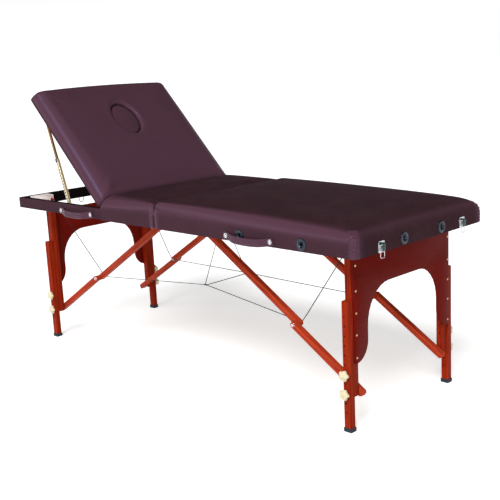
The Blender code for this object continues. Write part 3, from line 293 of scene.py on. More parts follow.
def vinyl_leatherette():
    """PVC leatherette, embossed: a pebble grain that breaks a soft lilac gloss into fine points."""
    made, tree, shader = new_finish(
        "vinyl_leatherette", Roughness=0.80, IOR=1.5, Specular_IOR_Level=0.18,
        Specular_Tint=(*linear("#a8aef2"), 1.0))
    place = add_node(tree, "ShaderNodeTexCoord").outputs["Object"]
    # The real grain is about 1 mm across and is drawn at 3.2 mm so that it shows
    pebbles = add_node(tree, "ShaderNodeTexVoronoi", {
        "Vector": place, "Scale": 1 / 0.0032, "Randomness": 0.9}, feature="SMOOTH_F1")
    creases = add_node(tree, "ShaderNodeTexNoise", {"Vector": place, "Scale": 1 / 0.014, "Detail": 3.0})
    shade = add_node(tree, "ShaderNodeTexNoise", {"Vector": place, "Scale": 1 / 0.11, "Detail": 2.0})
    grain = add_node(tree, "ShaderNodeMapRange", {
        "Value": pebbles.outputs["Distance"], "From Min": 0.0, "From Max": 0.6, "To Min": 1.0, "To Max": 0.0})
    share = add_node(tree, "ShaderNodeMath", {
        0: grain.outputs["Result"], 1: 0.45, 2: shade.outputs["Fac"]}, operation="MULTIPLY_ADD")
    spread = add_node(tree, "ShaderNodeMapRange", {
        "Value": share.outputs["Value"], "From Min": 0.42, "From Max": 1.1})
    tint = add_node(tree, "ShaderNodeMix", {
        0: spread.outputs["Result"], 6: colour("vinyl_deep"), 7: colour("vinyl_light")}, data_type="RGBA")
    # Skin drawn tight over an edge has its grain pulled flat, so it is smoother there; the paler, lilac
    # colour that the same attribute mixes in is a painted sheen
    tight = add_node(tree, "ShaderNodeAttribute", attribute_name="stretch").outputs["Fac"]
    drawn = add_node(tree, "ShaderNodeMix", {
        0: tight, 6: tint.outputs[2], 7: colour("vinyl_stretched")}, data_type="RGBA")
    tree.links.new(drawn.outputs[2], shader.inputs["Base Color"])
    dull = add_node(tree, "ShaderNodeMapRange", {
        "Value": creases.outputs["Fac"], "From Min": 0.3, "From Max": 0.7, "To Min": 0.82, "To Max": 0.92})
    gloss = add_node(tree, "ShaderNodeMapRange", {
        "Value": tight, "From Min": 0.8, "From Max": 1.0, "To Min": dull.outputs["Result"], "To Max": 0.31})
    tree.links.new(gloss.outputs["Result"], shader.inputs["Roughness"])
    height = add_node(tree, "ShaderNodeMath", {
        0: creases.outputs["Fac"], 1: 0.8, 2: grain.outputs["Result"]}, operation="MULTIPLY_ADD")
    bump = add_node(tree, "ShaderNodeBump", {
        "Strength": 0.35, "Distance": 0.0004, "Height": height.outputs["Value"]})
    tree.links.new(bump.outputs["Normal"], shader.inputs["Normal"])
    return made


def grained_wood(name, dark, light, turn, widths, values):
    """Wood with its grain along z before the turn: long figure, finer pores, and a faint relief."""
    made, tree, shader = new_finish(name, **values)
    place = add_node(tree, "ShaderNodeTexCoord").outputs["Object"]
    along = add_node(tree, "ShaderNodeMapping", {
        "Vector": place, "Rotation": turn, "Scale": (widths[0], widths[0], widths[1])}, vector_type="TEXTURE")
    figure = add_node(tree, "ShaderNodeTexNoise", {
        "Vector": along.outputs["Vector"], "Scale": 1.0, "Detail": 4.0, "Roughness": 0.6, "Distortion": 0.6})
    fine = add_node(tree, "ShaderNodeMapping", {
        "Vector": place, "Rotation": turn, "Scale": (0.0013, 0.0013, 0.030)}, vector_type="TEXTURE")
    pores = add_node(tree, "ShaderNodeTexNoise", {
        "Vector": fine.outputs["Vector"], "Scale": 1.0, "Detail": 2.0, "Roughness": 0.5})
    spread = add_node(tree, "ShaderNodeMapRange", {
        "Value": figure.outputs["Fac"], "From Min": 0.32, "From Max": 0.68})
    board = add_node(tree, "ShaderNodeMix", {
        0: spread.outputs["Result"], 6: colour(dark), 7: colour(light)}, data_type="RGBA")
    lines = add_node(tree, "ShaderNodeMapRange", {
        "Value": pores.outputs["Fac"], "From Min": 0.56, "From Max": 0.74, "To Min": 0.0, "To Max": 0.55})
    stained = add_node(tree, "ShaderNodeMix", {
        0: lines.outputs["Result"], 6: board.outputs[2], 7: colour(dark)}, data_type="RGBA")
    tree.links.new(stained.outputs[2], shader.inputs["Base Color"])
    gloss = add_node(tree, "ShaderNodeMapRange", {
        "Value": pores.outputs["Fac"], "From Min": 0.35, "From Max": 0.75,
        "To Min": values["Roughness"] - 0.05, "To Max": values["Roughness"] + 0.12})
    tree.links.new(gloss.outputs["Result"], shader.inputs["Roughness"])
    bump = add_node(tree, "ShaderNodeBump", {
        "Strength": 0.25, "Distance": 0.0003, "Height": pores.outputs["Fac"]}, invert=True)
    tree.links.new(bump.outputs["Normal"], shader.inputs["Normal"])
    return made


# Stain under clear lacquer: deep red wood, its gloss kept low so that the pale studio doesn't grey it
LACQUER = {"Roughness": 0.42, "IOR": 1.5, "Specular_IOR_Level": 0.04}
# Bare sawn wood: a dull surface with hardly any gloss
SAWN = {"Roughness": 0.72, "IOR": 1.45, "Specular_IOR_Level": 0.3}
UPRIGHT = (0.0, 0.0, 0.0)
LENGTHWAYS = (0.0, math.radians(90), 0.0)
CROSSWAYS = (math.radians(90), 0.0, 0.0)
# Width and length of the figure in beech
BEECH_FIGURE = (0.0045, 0.16)


def lacquered_beech():
    """Beech for the legs, stained and lacquered, grain upright."""
    return grained_wood("lacquered_beech", "stain_dark", "stain_light", UPRIGHT, BEECH_FIGURE, LACQUER)


def lacquered_beech_foot_brace():
    """Beech of a paler stain with its grain along the foot half's braces."""
    turn = (0.0, math.pi / 2 + BRACE_SLOPE, 0.0)
    return grained_wood(
        "lacquered_beech_foot_brace", "brace_dark", "brace_light", turn, BEECH_FIGURE, LACQUER)


def lacquered_beech_head_brace():
    """Beech of a paler stain with its grain along the head half's braces."""
    turn = (0.0, -math.pi / 2 - BRACE_SLOPE, 0.0)
    return grained_wood(
        "lacquered_beech_head_brace", "brace_dark", "brace_light", turn, BEECH_FIGURE, LACQUER)


def lacquered_plywood():
    """Veneered plywood of the aprons, stained darker than the legs and lacquered."""
    return grained_wood("lacquered_plywood", "apron_dark", "apron_light", CROSSWAYS, (0.007, 0.22), LACQUER)


def bare_poplar():
    """Unstained poplar of the corner blocks, almost white: its colour is pushed paler than bare poplar as
    painted light, since the blocks sit in shade inside the frame.
    """
    return grained_wood("bare_poplar", "raw_dark", "raw_light", CROSSWAYS, (0.006, 0.12), SAWN)


def birch_plywood():
    """Thin birch plywood of the decks, grain lengthways."""
    return grained_wood("birch_plywood", "deck_dark", "deck_light", LENGTHWAYS, (0.012, 0.30), SAWN)


def plated_metal(name, tone, roughness, spangle, wear):
    """Plated steel: a bright mirror made uneven by the plating's spangle and fine handling marks."""
    made, tree, shader = new_finish(name, Metallic=1.0, Roughness=roughness)
    place = add_node(tree, "ShaderNodeTexCoord").outputs["Object"]
    patches = add_node(tree, "ShaderNodeTexNoise", {"Vector": place, "Scale": 1 / spangle, "Detail": 3.0})
    spread = add_node(tree, "ShaderNodeMapRange", {
        "Value": patches.outputs["Fac"], "From Min": 0.3, "From Max": 0.7,
        "To Min": 1.0 - wear, "To Max": 1.0})
    tint = add_node(tree, "ShaderNodeMix", {
        0: spread.outputs["Result"], 6: colour(tone, (0.45, 0.43, 0.40)), 7: colour(tone)},
        data_type="RGBA")
    tree.links.new(tint.outputs[2], shader.inputs["Base Color"])
    gloss = add_node(tree, "ShaderNodeMapRange", {
        "Value": patches.outputs["Fac"], "From Min": 0.3, "From Max": 0.7,
        "To Min": roughness + 0.12, "To Max": roughness})
    tree.links.new(gloss.outputs["Result"], shader.inputs["Roughness"])
    return made


def zinc_plate():
    """Yellow-passivated zinc: a dull gold with cloudy patches."""
    return plated_metal("zinc_plate", "zinc", 0.44, 0.009, 0.3)


def bronze_plate():
    """Zinc passivated brown: the sliding bars, duller than the channels round them."""
    return plated_metal("bronze_plate", "bronze", 0.34, 0.007, 0.4)


def black_oxide():
    """Blackened steel of the backrest hinge, and painted shade inside the channels, whose slots it makes read
    as holes.
    """
    return plated_metal("black_oxide", "oxide", 0.55, 0.006, 0.4)


def chrome_plate():
    """Chrome: near white and sharp, with faint marks."""
    return plated_metal("chrome_plate", "chrome", 0.10, 0.006, 0.25)


def brass_plate():
    """Brass-plated screw heads: pale yellow and slightly worn."""
    return plated_metal("brass_plate", "brass", 0.24, 0.002, 0.35)


def moulded(name, tone, roughness, level, grit, depth):
    """A moulded surface: even colour, fine texture from the mould and slightly uneven gloss."""
    made, tree, shader = new_finish(name, Roughness=roughness, IOR=1.5, Specular_IOR_Level=level)
    place = add_node(tree, "ShaderNodeTexCoord").outputs["Object"]
    # Mould texture is finer than 0.3 mm and is drawn at the given grit so that it shows
    skin = add_node(tree, "ShaderNodeTexNoise", {"Vector": place, "Scale": 1 / grit, "Detail": 2.0})
    patches = add_node(tree, "ShaderNodeTexNoise", {"Vector": place, "Scale": 1 / 0.02, "Detail": 2.0})
    spread = add_node(tree, "ShaderNodeMapRange", {
        "Value": patches.outputs["Fac"], "From Min": 0.3, "From Max": 0.7})
    tint = add_node(tree, "ShaderNodeMix", {
        0: spread.outputs["Result"], 6: colour(tone, (0.84, 0.82, 0.78)), 7: colour(tone)},
        data_type="RGBA")
    tree.links.new(tint.outputs[2], shader.inputs["Base Color"])
    gloss = add_node(tree, "ShaderNodeMapRange", {
        "Value": patches.outputs["Fac"], "To Min": roughness - 0.06, "To Max": roughness + 0.06})
    tree.links.new(gloss.outputs["Result"], shader.inputs["Roughness"])
    bump = add_node(tree, "ShaderNodeBump", {
        "Strength": 0.3, "Distance": depth, "Height": skin.outputs["Fac"]})
    tree.links.new(bump.outputs["Normal"], shader.inputs["Normal"])
    return made


def moulded_rubber():
    """Moulded rubber of the feet: dark, dull and dusty."""
    return moulded("moulded_rubber", "rubber", 0.62, 0.3, 0.0016, 0.0004)


def moulded_nylon():
    """Moulded nylon of the star knobs: warm cream with a soft gloss."""
    return moulded("moulded_nylon", "knob", 0.40, 0.5, 0.0012, 0.0002)


def moulded_abs():
    """Moulded ABS of the grommets and strut guides: blue-black with a clear gloss."""
    return moulded("moulded_abs", "socket", 0.26, 0.5, 0.0012, 0.00015)


def teal_abs():
    """Moulded ABS of the latch levers: dark, with a teal tint that is a painted reflection of green
    surroundings, and a clear gloss.
    """
    return moulded("teal_abs", "lever", 0.30, 0.5, 0.0012, 0.00015)


def black_felt():
    """Black and dull with a faint cloud of loose fibres: painted shade on the rails' inner faces, which lie
    in shade inside the frame.
    """
    made, tree, shader = new_finish("black_felt", Roughness=0.95, IOR=1.45, Specular_IOR_Level=0.05)
    place = add_node(tree, "ShaderNodeTexCoord").outputs["Object"]
    # Fibres are about 0.03 mm thick, drawn as a 2 mm cloud so that they show
    fibres = add_node(tree, "ShaderNodeTexNoise", {"Vector": place, "Scale": 1 / 0.002, "Detail": 4.0})
    tint = add_node(tree, "ShaderNodeMix", {
        0: fibres.outputs["Fac"], 6: colour("felt", (0.5, 0.5, 0.5)), 7: colour("felt")},
        data_type="RGBA")
    tree.links.new(tint.outputs[2], shader.inputs["Base Color"])
    bump = add_node(tree, "ShaderNodeBump", {
        "Strength": 0.5, "Distance": 0.0006, "Height": fibres.outputs["Fac"]})
    tree.links.new(bump.outputs["Normal"], shader.inputs["Normal"])
    return made


def coated_cable():
    """Stranded steel under a thin dark coat: a faint twist shows through."""
    made, tree, shader = new_finish("coated_cable", Roughness=0.55, IOR=1.45, Specular_IOR_Level=0.25)
    place = add_node(tree, "ShaderNodeTexCoord").outputs["Object"]
    # Strands lie about 1.5 mm apart, drawn at 4 mm so that they show
    strands = add_node(tree, "ShaderNodeTexWave", {
        "Vector": place, "Scale": 1 / (0.004 * 6.3), "Distortion": 1.5}, bands_direction="DIAGONAL")
    tint = add_node(tree, "ShaderNodeMix", {
        0: strands.outputs["Fac"], 6: colour("cable", (0.6, 0.6, 0.6)), 7: colour("cable")},
        data_type="RGBA")
    tree.links.new(tint.outputs[2], shader.inputs["Base Color"])
    bump = add_node(tree, "ShaderNodeBump", {
        "Strength": 0.4, "Distance": 0.0003, "Height": strands.outputs["Fac"]})
    tree.links.new(bump.outputs["Normal"], shader.inputs["Normal"])
    return made


def finish(maker):
    """A finish, made once."""
    return bpy.data.materials.get(maker.__name__) or maker()


# Shapes

def add_box(bm, low, high):
    """Add a box between two corners."""
    low = Vector(low)
    high = Vector(high)
    place = Matrix.Translation((low + high) / 2) @ Matrix.Diagonal((*(high - low), 1.0))
    return bmesh.ops.create_cube(bm, size=1.0, matrix=place)["verts"]


def add_rod(bm, start, end, radius, sides):
    """Add a round rod between two points."""
    start = Vector(start)
    end = Vector(end)
    turn = (end - start).to_track_quat("Z", "Y").to_matrix().to_4x4()
    place = Matrix.Translation((start + end) / 2) @ turn
    return bmesh.ops.create_cone(
        bm, cap_ends=True, segments=sides, radius1=radius, radius2=radius,
        depth=(end - start).length, matrix=place)["verts"]


def add_turned(bm, profile, start, towards, steps, ring=False):
    """Add a shape turned from (radius, height) points, its axis from start the given way."""
    before = set(bm.verts)
    points = [bm.verts.new((radius, 0.0, height)) for radius, height in profile]
    pairs = list(zip(points, points[1:]))
    if ring:
        pairs.append((points[-1], points[0]))
    edges = [bm.edges.new(pair) for pair in pairs]
    bmesh.ops.spin(bm, geom=points + edges, cent=(0, 0, 0), axis=(0, 0, 1), angle=2 * math.pi,
                   steps=steps, use_merge=True)
    made = [vert for vert in bm.verts if vert not in before]
    bmesh.ops.remove_doubles(bm, verts=made, dist=1e-6)
    made = [vert for vert in bm.verts if vert not in before]
    turn = Vector(towards).to_track_quat("Z", "Y").to_matrix().to_4x4()
    bmesh.ops.transform(bm, matrix=Matrix.Translation(start) @ turn, verts=made)
    faces = list({face for vert in made for face in vert.link_faces})
    bmesh.ops.recalc_face_normals(bm, faces=faces)
    return made


def add_wire(bm, points, radius, resolution=3):
    """Add a round wire along points."""
    curve = bpy.data.curves.new("wire", "CURVE")
    curve.dimensions = "3D"
    curve.bevel_depth = radius
    curve.bevel_resolution = resolution
    curve.use_fill_caps = True
    add_line(curve, points)
    return add_curve(bm, curve)


def add_line(curve, points):
    """Add a line of straight runs to a curve."""
    line = curve.splines.new("POLY")
    line.points.add(len(points) - 1)
    for point, place in zip(line.points, points):
        point.co = (*place, 1.0)
    return line


def add_curve(bm, curve):
    """Add a curve's solid form, and use the curve up."""
    before = set(bm.verts)
    carrier = bpy.data.objects.new("carrier", curve)
    bpy.context.scene.collection.objects.link(carrier)
    graph = bpy.context.evaluated_depsgraph_get()
    mesh = bpy.data.meshes.new_from_object(carrier.evaluated_get(graph))
    bm.from_mesh(mesh)
    bpy.data.meshes.remove(mesh)
    bpy.data.objects.remove(carrier)
    bpy.data.curves.remove(curve)
    made = [vert for vert in bm.verts if vert not in before]
    bmesh.ops.remove_doubles(bm, verts=made, dist=1e-6)
    made = [vert for vert in bm.verts if vert not in before]
    faces = list({face for vert in made for face in vert.link_faces})
    bmesh.ops.recalc_face_normals(bm, faces=faces)
    return made


def ease(bm, edges, width, steps=2):
    """Round edges off."""
    bmesh.ops.bevel(bm, geom=list(edges), offset=width, offset_type="OFFSET", segments=steps, profile=0.5,
                    affect="EDGES", clamp_overlap=True, material=-1)


def edges_of(verts):
    """All edges between some vertices."""
    chosen = set(verts)
    return {edge for vert in verts for edge in vert.link_edges if edge.other_vert(vert) in chosen}


def running(edges, axis):
    """Those of some edges that run along an axis: 0 for x, 1 for y and 2 for z."""
    return [edge for edge in edges if abs(edge.verts[0].co[axis] - edge.verts[1].co[axis]) > 1e-5]


def sharp_edges(bm, shortest):
    """Edges where two faces meet at more than 50 degrees, and that are no shorter than a length."""
    return [edge for edge in bm.edges if len(edge.link_faces) == 2
            and edge.calc_face_angle(0.0) > math.radians(50) and edge.calc_length() >= shortest]


def add_eased_box(bm, low, high, width, steps):
    """Add a box with all its edges rounded off."""
    ease(bm, edges_of(add_box(bm, low, high)), width, steps)


def add_plate(bm, low, high, radius, steps):
    """Add a plate that faces along x, with its corners rounded."""
    ease(bm, running(edges_of(add_box(bm, low, high)), 0), radius, steps)


def as_mesh(name, bm):
    """A bmesh as a mesh, and use the bmesh up."""
    mesh = bpy.data.meshes.new(name)
    bm.to_mesh(mesh)
    bm.free()
    return mesh


def copied(node):
    """A copy of a node's mesh with its flat faces whole."""
    bm = bmesh.new()
    bm.from_mesh(NODES[node].data)
    bmesh.ops.remove_doubles(bm, verts=bm.verts, dist=1e-5)
    bmesh.ops.dissolve_limit(bm, angle_limit=math.radians(1), verts=bm.verts, edges=bm.edges)
    return bm


def cut(mesh, *tools, operation="DIFFERENCE"):
    """A mesh with closed shapes cut from it, or kept to them, which uses them all up."""
    work = bpy.data.objects.new("work", mesh)
    made = [work]
    bpy.context.scene.collection.objects.link(work)
    for bm in tools:
        tool = bpy.data.objects.new("tool", as_mesh("tool", bm))
        bpy.context.scene.collection.objects.link(tool)
        made.append(tool)
        step = work.modifiers.new("cut", "BOOLEAN")
        step.object = tool
        step.operation = operation
        step.solver = "EXACT"
    graph = bpy.context.evaluated_depsgraph_get()
    result = bpy.data.meshes.new_from_object(work.evaluated_get(graph))
    for thing in made:
        spent = thing.data
        bpy.data.objects.remove(thing)
        bpy.data.meshes.remove(spent)
    if not result.polygons:
        raise RuntimeError("nothing is left after a cut")
    return result


def put(name, mesh, body, makers, replaces=(), smooth_to=38, stretch=None):
    """Make a mesh a finished piece that rides on a body, with one share of tightness and painted sheen all
    over its vinyl if told.
    """
    mesh.name = name
    if stretch is not None:
        layer = mesh.attributes.new("stretch", "FLOAT", "POINT")
        layer.data.foreach_set("value", [stretch] * len(mesh.vertices))
    places = [0] * len(mesh.polygons)
    mesh.polygons.foreach_get("material_index", places)
    mesh.materials.clear()
    for maker in makers:
        mesh.materials.append(finish(maker))
    mesh.polygons.foreach_set("material_index", places)
    mesh.shade_smooth()
    mesh.set_sharp_from_angle(angle=math.radians(smooth_to))
    piece = bpy.data.objects.new(name, mesh)
    bpy.context.scene.collection.objects.link(piece)
    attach(piece, body)
    if replaces:
        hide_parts(*replaces)
    return piece


# Pads

def squared_block(low, high, square):
    """A closed box cut into near squares on every side."""
    bm = bmesh.new()
    add_box(bm, low, high)
    for axis in range(3):
        cuts = max(1, round((high[axis] - low[axis]) / square) - 1)
        bmesh.ops.subdivide_edges(bm, edges=running(bm.edges, axis), cuts=cuts, use_grid_fill=True)
    return bm


def drawn_in(height, top, run, fall):
    """How far in a rounded edge lies at a height, where it goes in by run over a fall from the top."""
    share = clamped((height - top + fall) / fall)
    return run * (1 - math.sqrt(1 - share * share))


def shape_pad(bm, low, high, crown_from, ends, sides, bow=0.0, lifts=(0.0, 0.0)):
    """Round a block's upper edges and corners and crown its top.

    Each of the two ends is (edge rounding, its fall, corner radius, slant, where the slant starts), and
    sides holds the long edges' rounding and its fall at each of them. The low end bows out, and lifts say
    how much thicker the pad is at each end.
    """
    crown = sizes().pad_crown
    half = high.y
    for vert in bm.verts:
        px, py, pz = vert.co
        share = (px - low.x) / (high.x - low.x)
        edge, fall = (start + (end - start) * share for start, end in zip(*sides))
        bounds_x = []
        insets = []
        for limit, way, shape in ((low.x, 1, ends[0]), (high.x, -1, ends[1])):
            run, drop, _, slant, slant_from = shape
            inset = drawn_in(pz, high.z, run, drop)
            insets.append(inset)
            bounds_x.append(limit + way * (inset + max(0.0, pz - slant_from) * slant))
        width = half - drawn_in(pz, high.z, edge, fall)
        px = bounds_x[0] + share * (bounds_x[1] - bounds_x[0])
        py = py * width / half
        nearest = 0 if share < 0.5 else 1
        radius = ends[nearest][2] + 0.8 * insets[nearest]
        px, py = corner_of(px, py, bounds_x[nearest], width, radius, nearest)
        rise = max(0.0, pz - crown_from) / (high.z - crown_from)
        across = 1 - abs(py / half) ** 3
        along = 1 - abs(2 * share - 1) ** 5
        px -= bow * (1 - (py / half) ** 2) * (1 - share) ** 4
        lift = lifts[0] * (1 - share ** 2) + lifts[1] * share ** 3
        vert.co = (px, py, pz + rise * (crown * across * along + lift))


def corner_of(px, py, limit, width, radius, nearest):
    """Round the corner of a block's outline that is nearest to a point."""
    way = -1 if nearest == 0 else 1
    run = (px - limit) * way + radius
    rise = abs(py) - width + radius
    if run <= 0 or rise <= 0:
        return px, py
    reach = max(run, rise)
    angle = math.pi / 4 * rise / run if rise <= run else math.pi / 2 - math.pi / 4 * run / rise
    px = limit + way * (reach * math.cos(angle) - radius)
    py = math.copysign(width - radius + reach * math.sin(angle), py)
    return px, py


def blow_up(mesh, stapled, free):
    """Swell a pad's closed skin with cloth pressure, held below one height and free above another."""
    pad = bpy.data.objects.new("pad", mesh)
    scene = bpy.context.scene
    scene.collection.objects.link(pad)
    start = [vert.co.copy() for vert in mesh.vertices]
    held = pad.vertex_groups.new(name="stapled")
    held.add([vert.index for vert in mesh.vertices if vert.co.z < stapled], 1.0, "REPLACE")
    cloth = pad.modifiers.new("cloth", "CLOTH")
    cloth.settings.vertex_group_mass = held.name
    cloth.settings.use_pressure = True
    cloth.settings.uniform_pressure_force = sizes().pressure
    cloth.settings.effector_weights.gravity = 0.0
    last = 20
    cloth.point_cache.frame_start = 1
    cloth.point_cache.frame_end = last
    for step in range(1, last + 1):
        scene.frame_set(step)
    graph = bpy.context.evaluated_depsgraph_get()
    swollen = pad.evaluated_get(graph).to_mesh()
    for vert, moved, old in zip(mesh.vertices, swollen.vertices, start):
        way = moved.co - old
        if way.length > sizes().swell:
            way.length = sizes().swell
        vert.co = old + way * gentle((old.z - stapled) / (free - stapled))
    pad.evaluated_get(graph).to_mesh_clear()
    bpy.data.objects.remove(pad)
    scene.frame_set(1)


def stretched(normal, least):
    """How tightly skin is drawn, and so how much painted sheen it gets: most over the rolled edges of the
    sides, least on top and at the ends.
    """
    roll = gentle((0.97 - normal.z) / 0.26) * gentle((normal.z + 0.25) / 0.65)
    # A painted sheen on the upper roll of the long sides
    shoulder = 0.3 * ridge(normal.z - 0.62, 0.20)
    return max(least, (roll + shoulder) * (1 - abs(normal.x)))


def softened(bm, stapled, free):
    mesh = as_mesh("pad", bm)
    blow_up(mesh, stapled, free)
    pad = bpy.data.objects.new("pad", mesh)
    bpy.context.scene.collection.objects.link(pad)
    finer = pad.modifiers.new("finer", "SUBSURF")
    finer.levels = 1
    finer.render_levels = 1
    graph = bpy.context.evaluated_depsgraph_get()
    done = bmesh.new()
    done.from_mesh(pad.evaluated_get(graph).to_mesh())
    pad.evaluated_get(graph).to_mesh_clear()
    bpy.data.objects.remove(pad)
    bpy.data.meshes.remove(mesh)
    done.normal_update()
    # Sides get the paler painted-sheen colour and the top the darker vinyl, set by the way each vertex faces
    stretch = done.verts.layers.float.new("stretch")
    for vert in done.verts:
        vert[stretch] = stretched(vert.normal, 0.0)
    return done


def gather_corner(bm, corner, inward, low_z, high_z):
    """Fold gathers into a wrapped corner, with the line where its two sides meet.

    Real gathers are finer than these, which are drawn coarser so that they show.
    """
    corner = Vector(corner)
    inward = Vector(inward).normalized()
    beside = Vector((-inward.y, inward.x))
    reach = 0.050
    spread = 0.020
    seam_width = 0.0016
    fade_low = 0.006
    fade_high = 0.014

    def near(place):
        level = low_z - fade_low < place.z < high_z + fade_low
        return level and (Vector(place.xy) - corner).length < reach

    edges = [edge for edge in bm.edges if near(edge.verts[0].co) and near(edge.verts[1].co)]
    bmesh.ops.subdivide_edges(bm, edges=edges, cuts=2, use_grid_fill=True)
    bm.normal_update()
    stretch = bm.verts.layers.float["stretch"]
    moves = []
    for vert in bm.verts:
        if not near(vert.co):
            continue
        offset = Vector(vert.co.xy) - corner
        aside = offset.dot(beside)
        fade = ridge(aside, spread)
        # A painted highlight down the wrapped corner, paler and glossier
        vert[stretch] = max(vert[stretch], 1.4 * fade)
        rise = clamped((vert.co.z - low_z) / fade_low) * clamped((high_z - vert.co.z) / fade_high)
        wave = math.sin(2 * math.pi * (vert.co.z + 0.6 * abs(aside)) / sizes().gather_pitch)
        seam = ridge(aside, seam_width)
        puff = sizes().gather_depth * fade * (1 + wave) * (1 - seam)
        moves.append((vert, vert.normal * rise * puff))
    for vert, move in moves:
        vert.co += move


def rounded_prism(low, high, radii):
    """A box with upright edges rounded, radii given for the low and high x ends."""
    bm = bmesh.new()
    add_box(bm, low, high)
    for limit, radius in zip((low[0], high[0]), radii):
        upright = [edge for edge in running(bm.edges, 2)
                   if all(abs(vert.co.x - limit) < 1e-5 for vert in edge.verts)]
        if radius:
            ease(bm, upright, radius, 6)
    return bm


def rod_cutter(start, end, radius):
    """A round rod to cut with."""
    bm = bmesh.new()
    add_rod(bm, start, end, radius, 32)
    return bm


def side_sockets(sign):
    """Where the accessory sockets of a half lie: a point on the rail and the way out of it."""
    places = []
    if sign > 0:
        for way in SIDES.values():
            for px in SOCKET_X:
                places.append((Vector((px, way * RAIL_HIGH.y, SOCKET_Z)), Vector((0, way, 0))))
            places.append((Vector((RAIL_HIGH.x, way * SOCKET_Y, SOCKET_Z)), Vector((1, 0, 0))))
    return places


def fixed_pad(end):
    """One half's pad: foam under a single skin of vinyl, drawn over the edge and down over the rails."""
    size = sizes()
    sign = ENDS[end]
    skin = size.vinyl + LINING
    bottom = RAIL_LOW.z - HEM
    top = PAD_HIGH.z - size.pad_crown - SWELL_ROOM
    wide = RAIL_HIGH.y + skin
    fold_corner = 0.006
    crease_corner = 0.005
    head_rise = 0.0015
    loose_from = DECK_HIGH.z + 0.030
    end_gathers = RAIL_HIGH.z + 0.032
    fold_gathers = RAIL_HIGH.z + 0.020
    fold = (size.fold_edge, size.fold_edge, fold_corner, 0.0, top)
    if sign > 0:
        low = Vector((FOLD_GAP, -wide, bottom - SPARE))
        high = Vector((RAIL_HIGH.x + skin, wide, top))
        ends = (fold, (size.pad_edge, size.pad_roll, size.pad_corner, 0.0, top))
        sides = ((size.tight_edge, size.tight_roll), (size.pad_edge, size.pad_roll))
        lifts = (size.fold_lift, -size.end_drop)
    else:
        low = Vector((-SHORT_PAD_X, -wide, bottom - SPARE))
        high = Vector((-FOLD_GAP, wide, top + head_rise))
        ends = ((size.fold_edge, size.fold_edge, crease_corner, CREASE_SLANT, RAIL_HIGH.z + 0.002), fold)
        sides = ((size.pad_edge, size.pad_roll), (size.tight_edge, size.tight_roll))
        lifts = (0.0, 0.0)
    bm = squared_block(low, high, size.pad_square)
    shape_pad(bm, low, high, DECK_HIGH.z, ends, sides, lifts=lifts)
    bm = softened(bm, DECK_HIGH.z, loose_from)
    for way in SIDES.values():
        if sign > 0:
            gather_corner(bm, (high.x, way * wide), (-1, -way), bottom, end_gathers)
        gather_corner(bm, (sign * FOLD_GAP, way * wide), (sign, -way), bottom, fold_gathers)
    everything = bm.verts[:] + bm.edges[:] + bm.faces[:]
    bmesh.ops.bisect_plane(
        bm, geom=everything, plane_co=(0, 0, bottom), plane_no=(0, 0, -1), clear_outer=True)
    rim = [edge for edge in bm.edges if edge.is_boundary]
    bmesh.ops.edgeloop_fill(bm, edges=rim)
    bmesh.ops.recalc_face_normals(bm, faces=bm.faces)
    rails_room = (0.0, bottom - 0.1, RAIL_HIGH.z)
    deck_room = (DECK_TRIM, RAIL_HIGH.z - 0.01, DECK_HIGH.z)
    tools = []
    for trim, room_low, room_top in (rails_room, deck_room):
        side = RAIL_HIGH.y + LINING - trim
        start_x = -0.1 if sign > 0 else -0.6
        end_x = RAIL_HIGH.x + LINING - trim if sign > 0 else 0.1
        radii = (0, size.pad_corner + 0.004 if sign > 0 else 0)
        tools.append(rounded_prism((start_x, -side, room_low), (end_x, side, room_top + 0.0002), radii))
    tools += [rod_cutter(place - way * 0.01, place + way * 0.02, SOCKET_BORE)
              for place, way in side_sockets(sign)]
    mesh = cut(as_mesh("pad", bm), *tools)
    piece = put(f"{end}_pad_cover", mesh, f"{end}_half", [vinyl_leatherette],
                [f"{end}_cushion"], 60)


def wood_radii(end, head_radius):
    """Radii of the wood's corners under the vinyl, at the low and high x ends of one half."""
    fold_radius = 0.008
    return (fold_radius, sizes().pad_corner + 0.006) if ENDS[end] > 0 else (head_radius, fold_radius)


def frame_rails(end):
    """One half's rails: the frame's own shape with its corners rounded under the vinyl."""
    low, high = (Vector(corner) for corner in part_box(f"{end}_frame"))
    past = Vector((0.0001, 0.0001, 0.01))
    outline = rounded_prism(low - past, high + past, wood_radii(end, 0.006))
    mesh = cut(as_mesh("rails", copied(f"{end}_frame")), outline, operation="INTERSECT")
    start = min(abs(low.x), abs(high.x)) + RAIL_WIDTH + 0.0005
    # The rails' inner faces get the black lining, painted shade where shade falls inside the frame
    for face in mesh.polygons:
        across = abs(face.center.y) < RAIL_IN_Y + SEAT
        along = start < abs(face.center.x) < RAIL_IN_X + SEAT
        face.material_index = 1 if across and along else 0
    # Some of the paler painted-sheen colour is mixed into all of the rails' vinyl
    put(f"{end}_rails", mesh, f"{end}_half", [vinyl_leatherette, black_felt], [f"{end}_frame"],
        stretch=0.3)


def deck_board(end):
    """One half's deck, a little smaller than the rails that it lies on and rounded like them."""
    sign = ENDS[end]
    low, high = (Vector(corner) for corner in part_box(f"{end}_deck"))
    trim_low = Vector((0.0 if sign > 0 else DECK_TRIM, DECK_TRIM, -0.01))
    trim_high = Vector((DECK_TRIM if sign > 0 else 0.0, DECK_TRIM, -0.01))
    outline = rounded_prism(low + trim_low, high - trim_high, wood_radii(end, 0.010))
    mesh = cut(as_mesh("deck", copied(f"{end}_deck")), outline, operation="INTERSECT")
    put(f"{end}_deck_board", mesh, f"{end}_half", [birch_plywood], [f"{end}_deck"])


def backrest_box(node):
    """A node's corners in the backrest's own axes: x to the hinge end, z out of the pad."""
    flat = BACK_PLACE.inverted()
    places = [flat @ vert.co for vert in NODES[node].data.vertices]
    return (Vector([min(place[axis] for place in places) for axis in range(3)]),
            Vector([max(place[axis] for place in places) for axis in range(3)]))


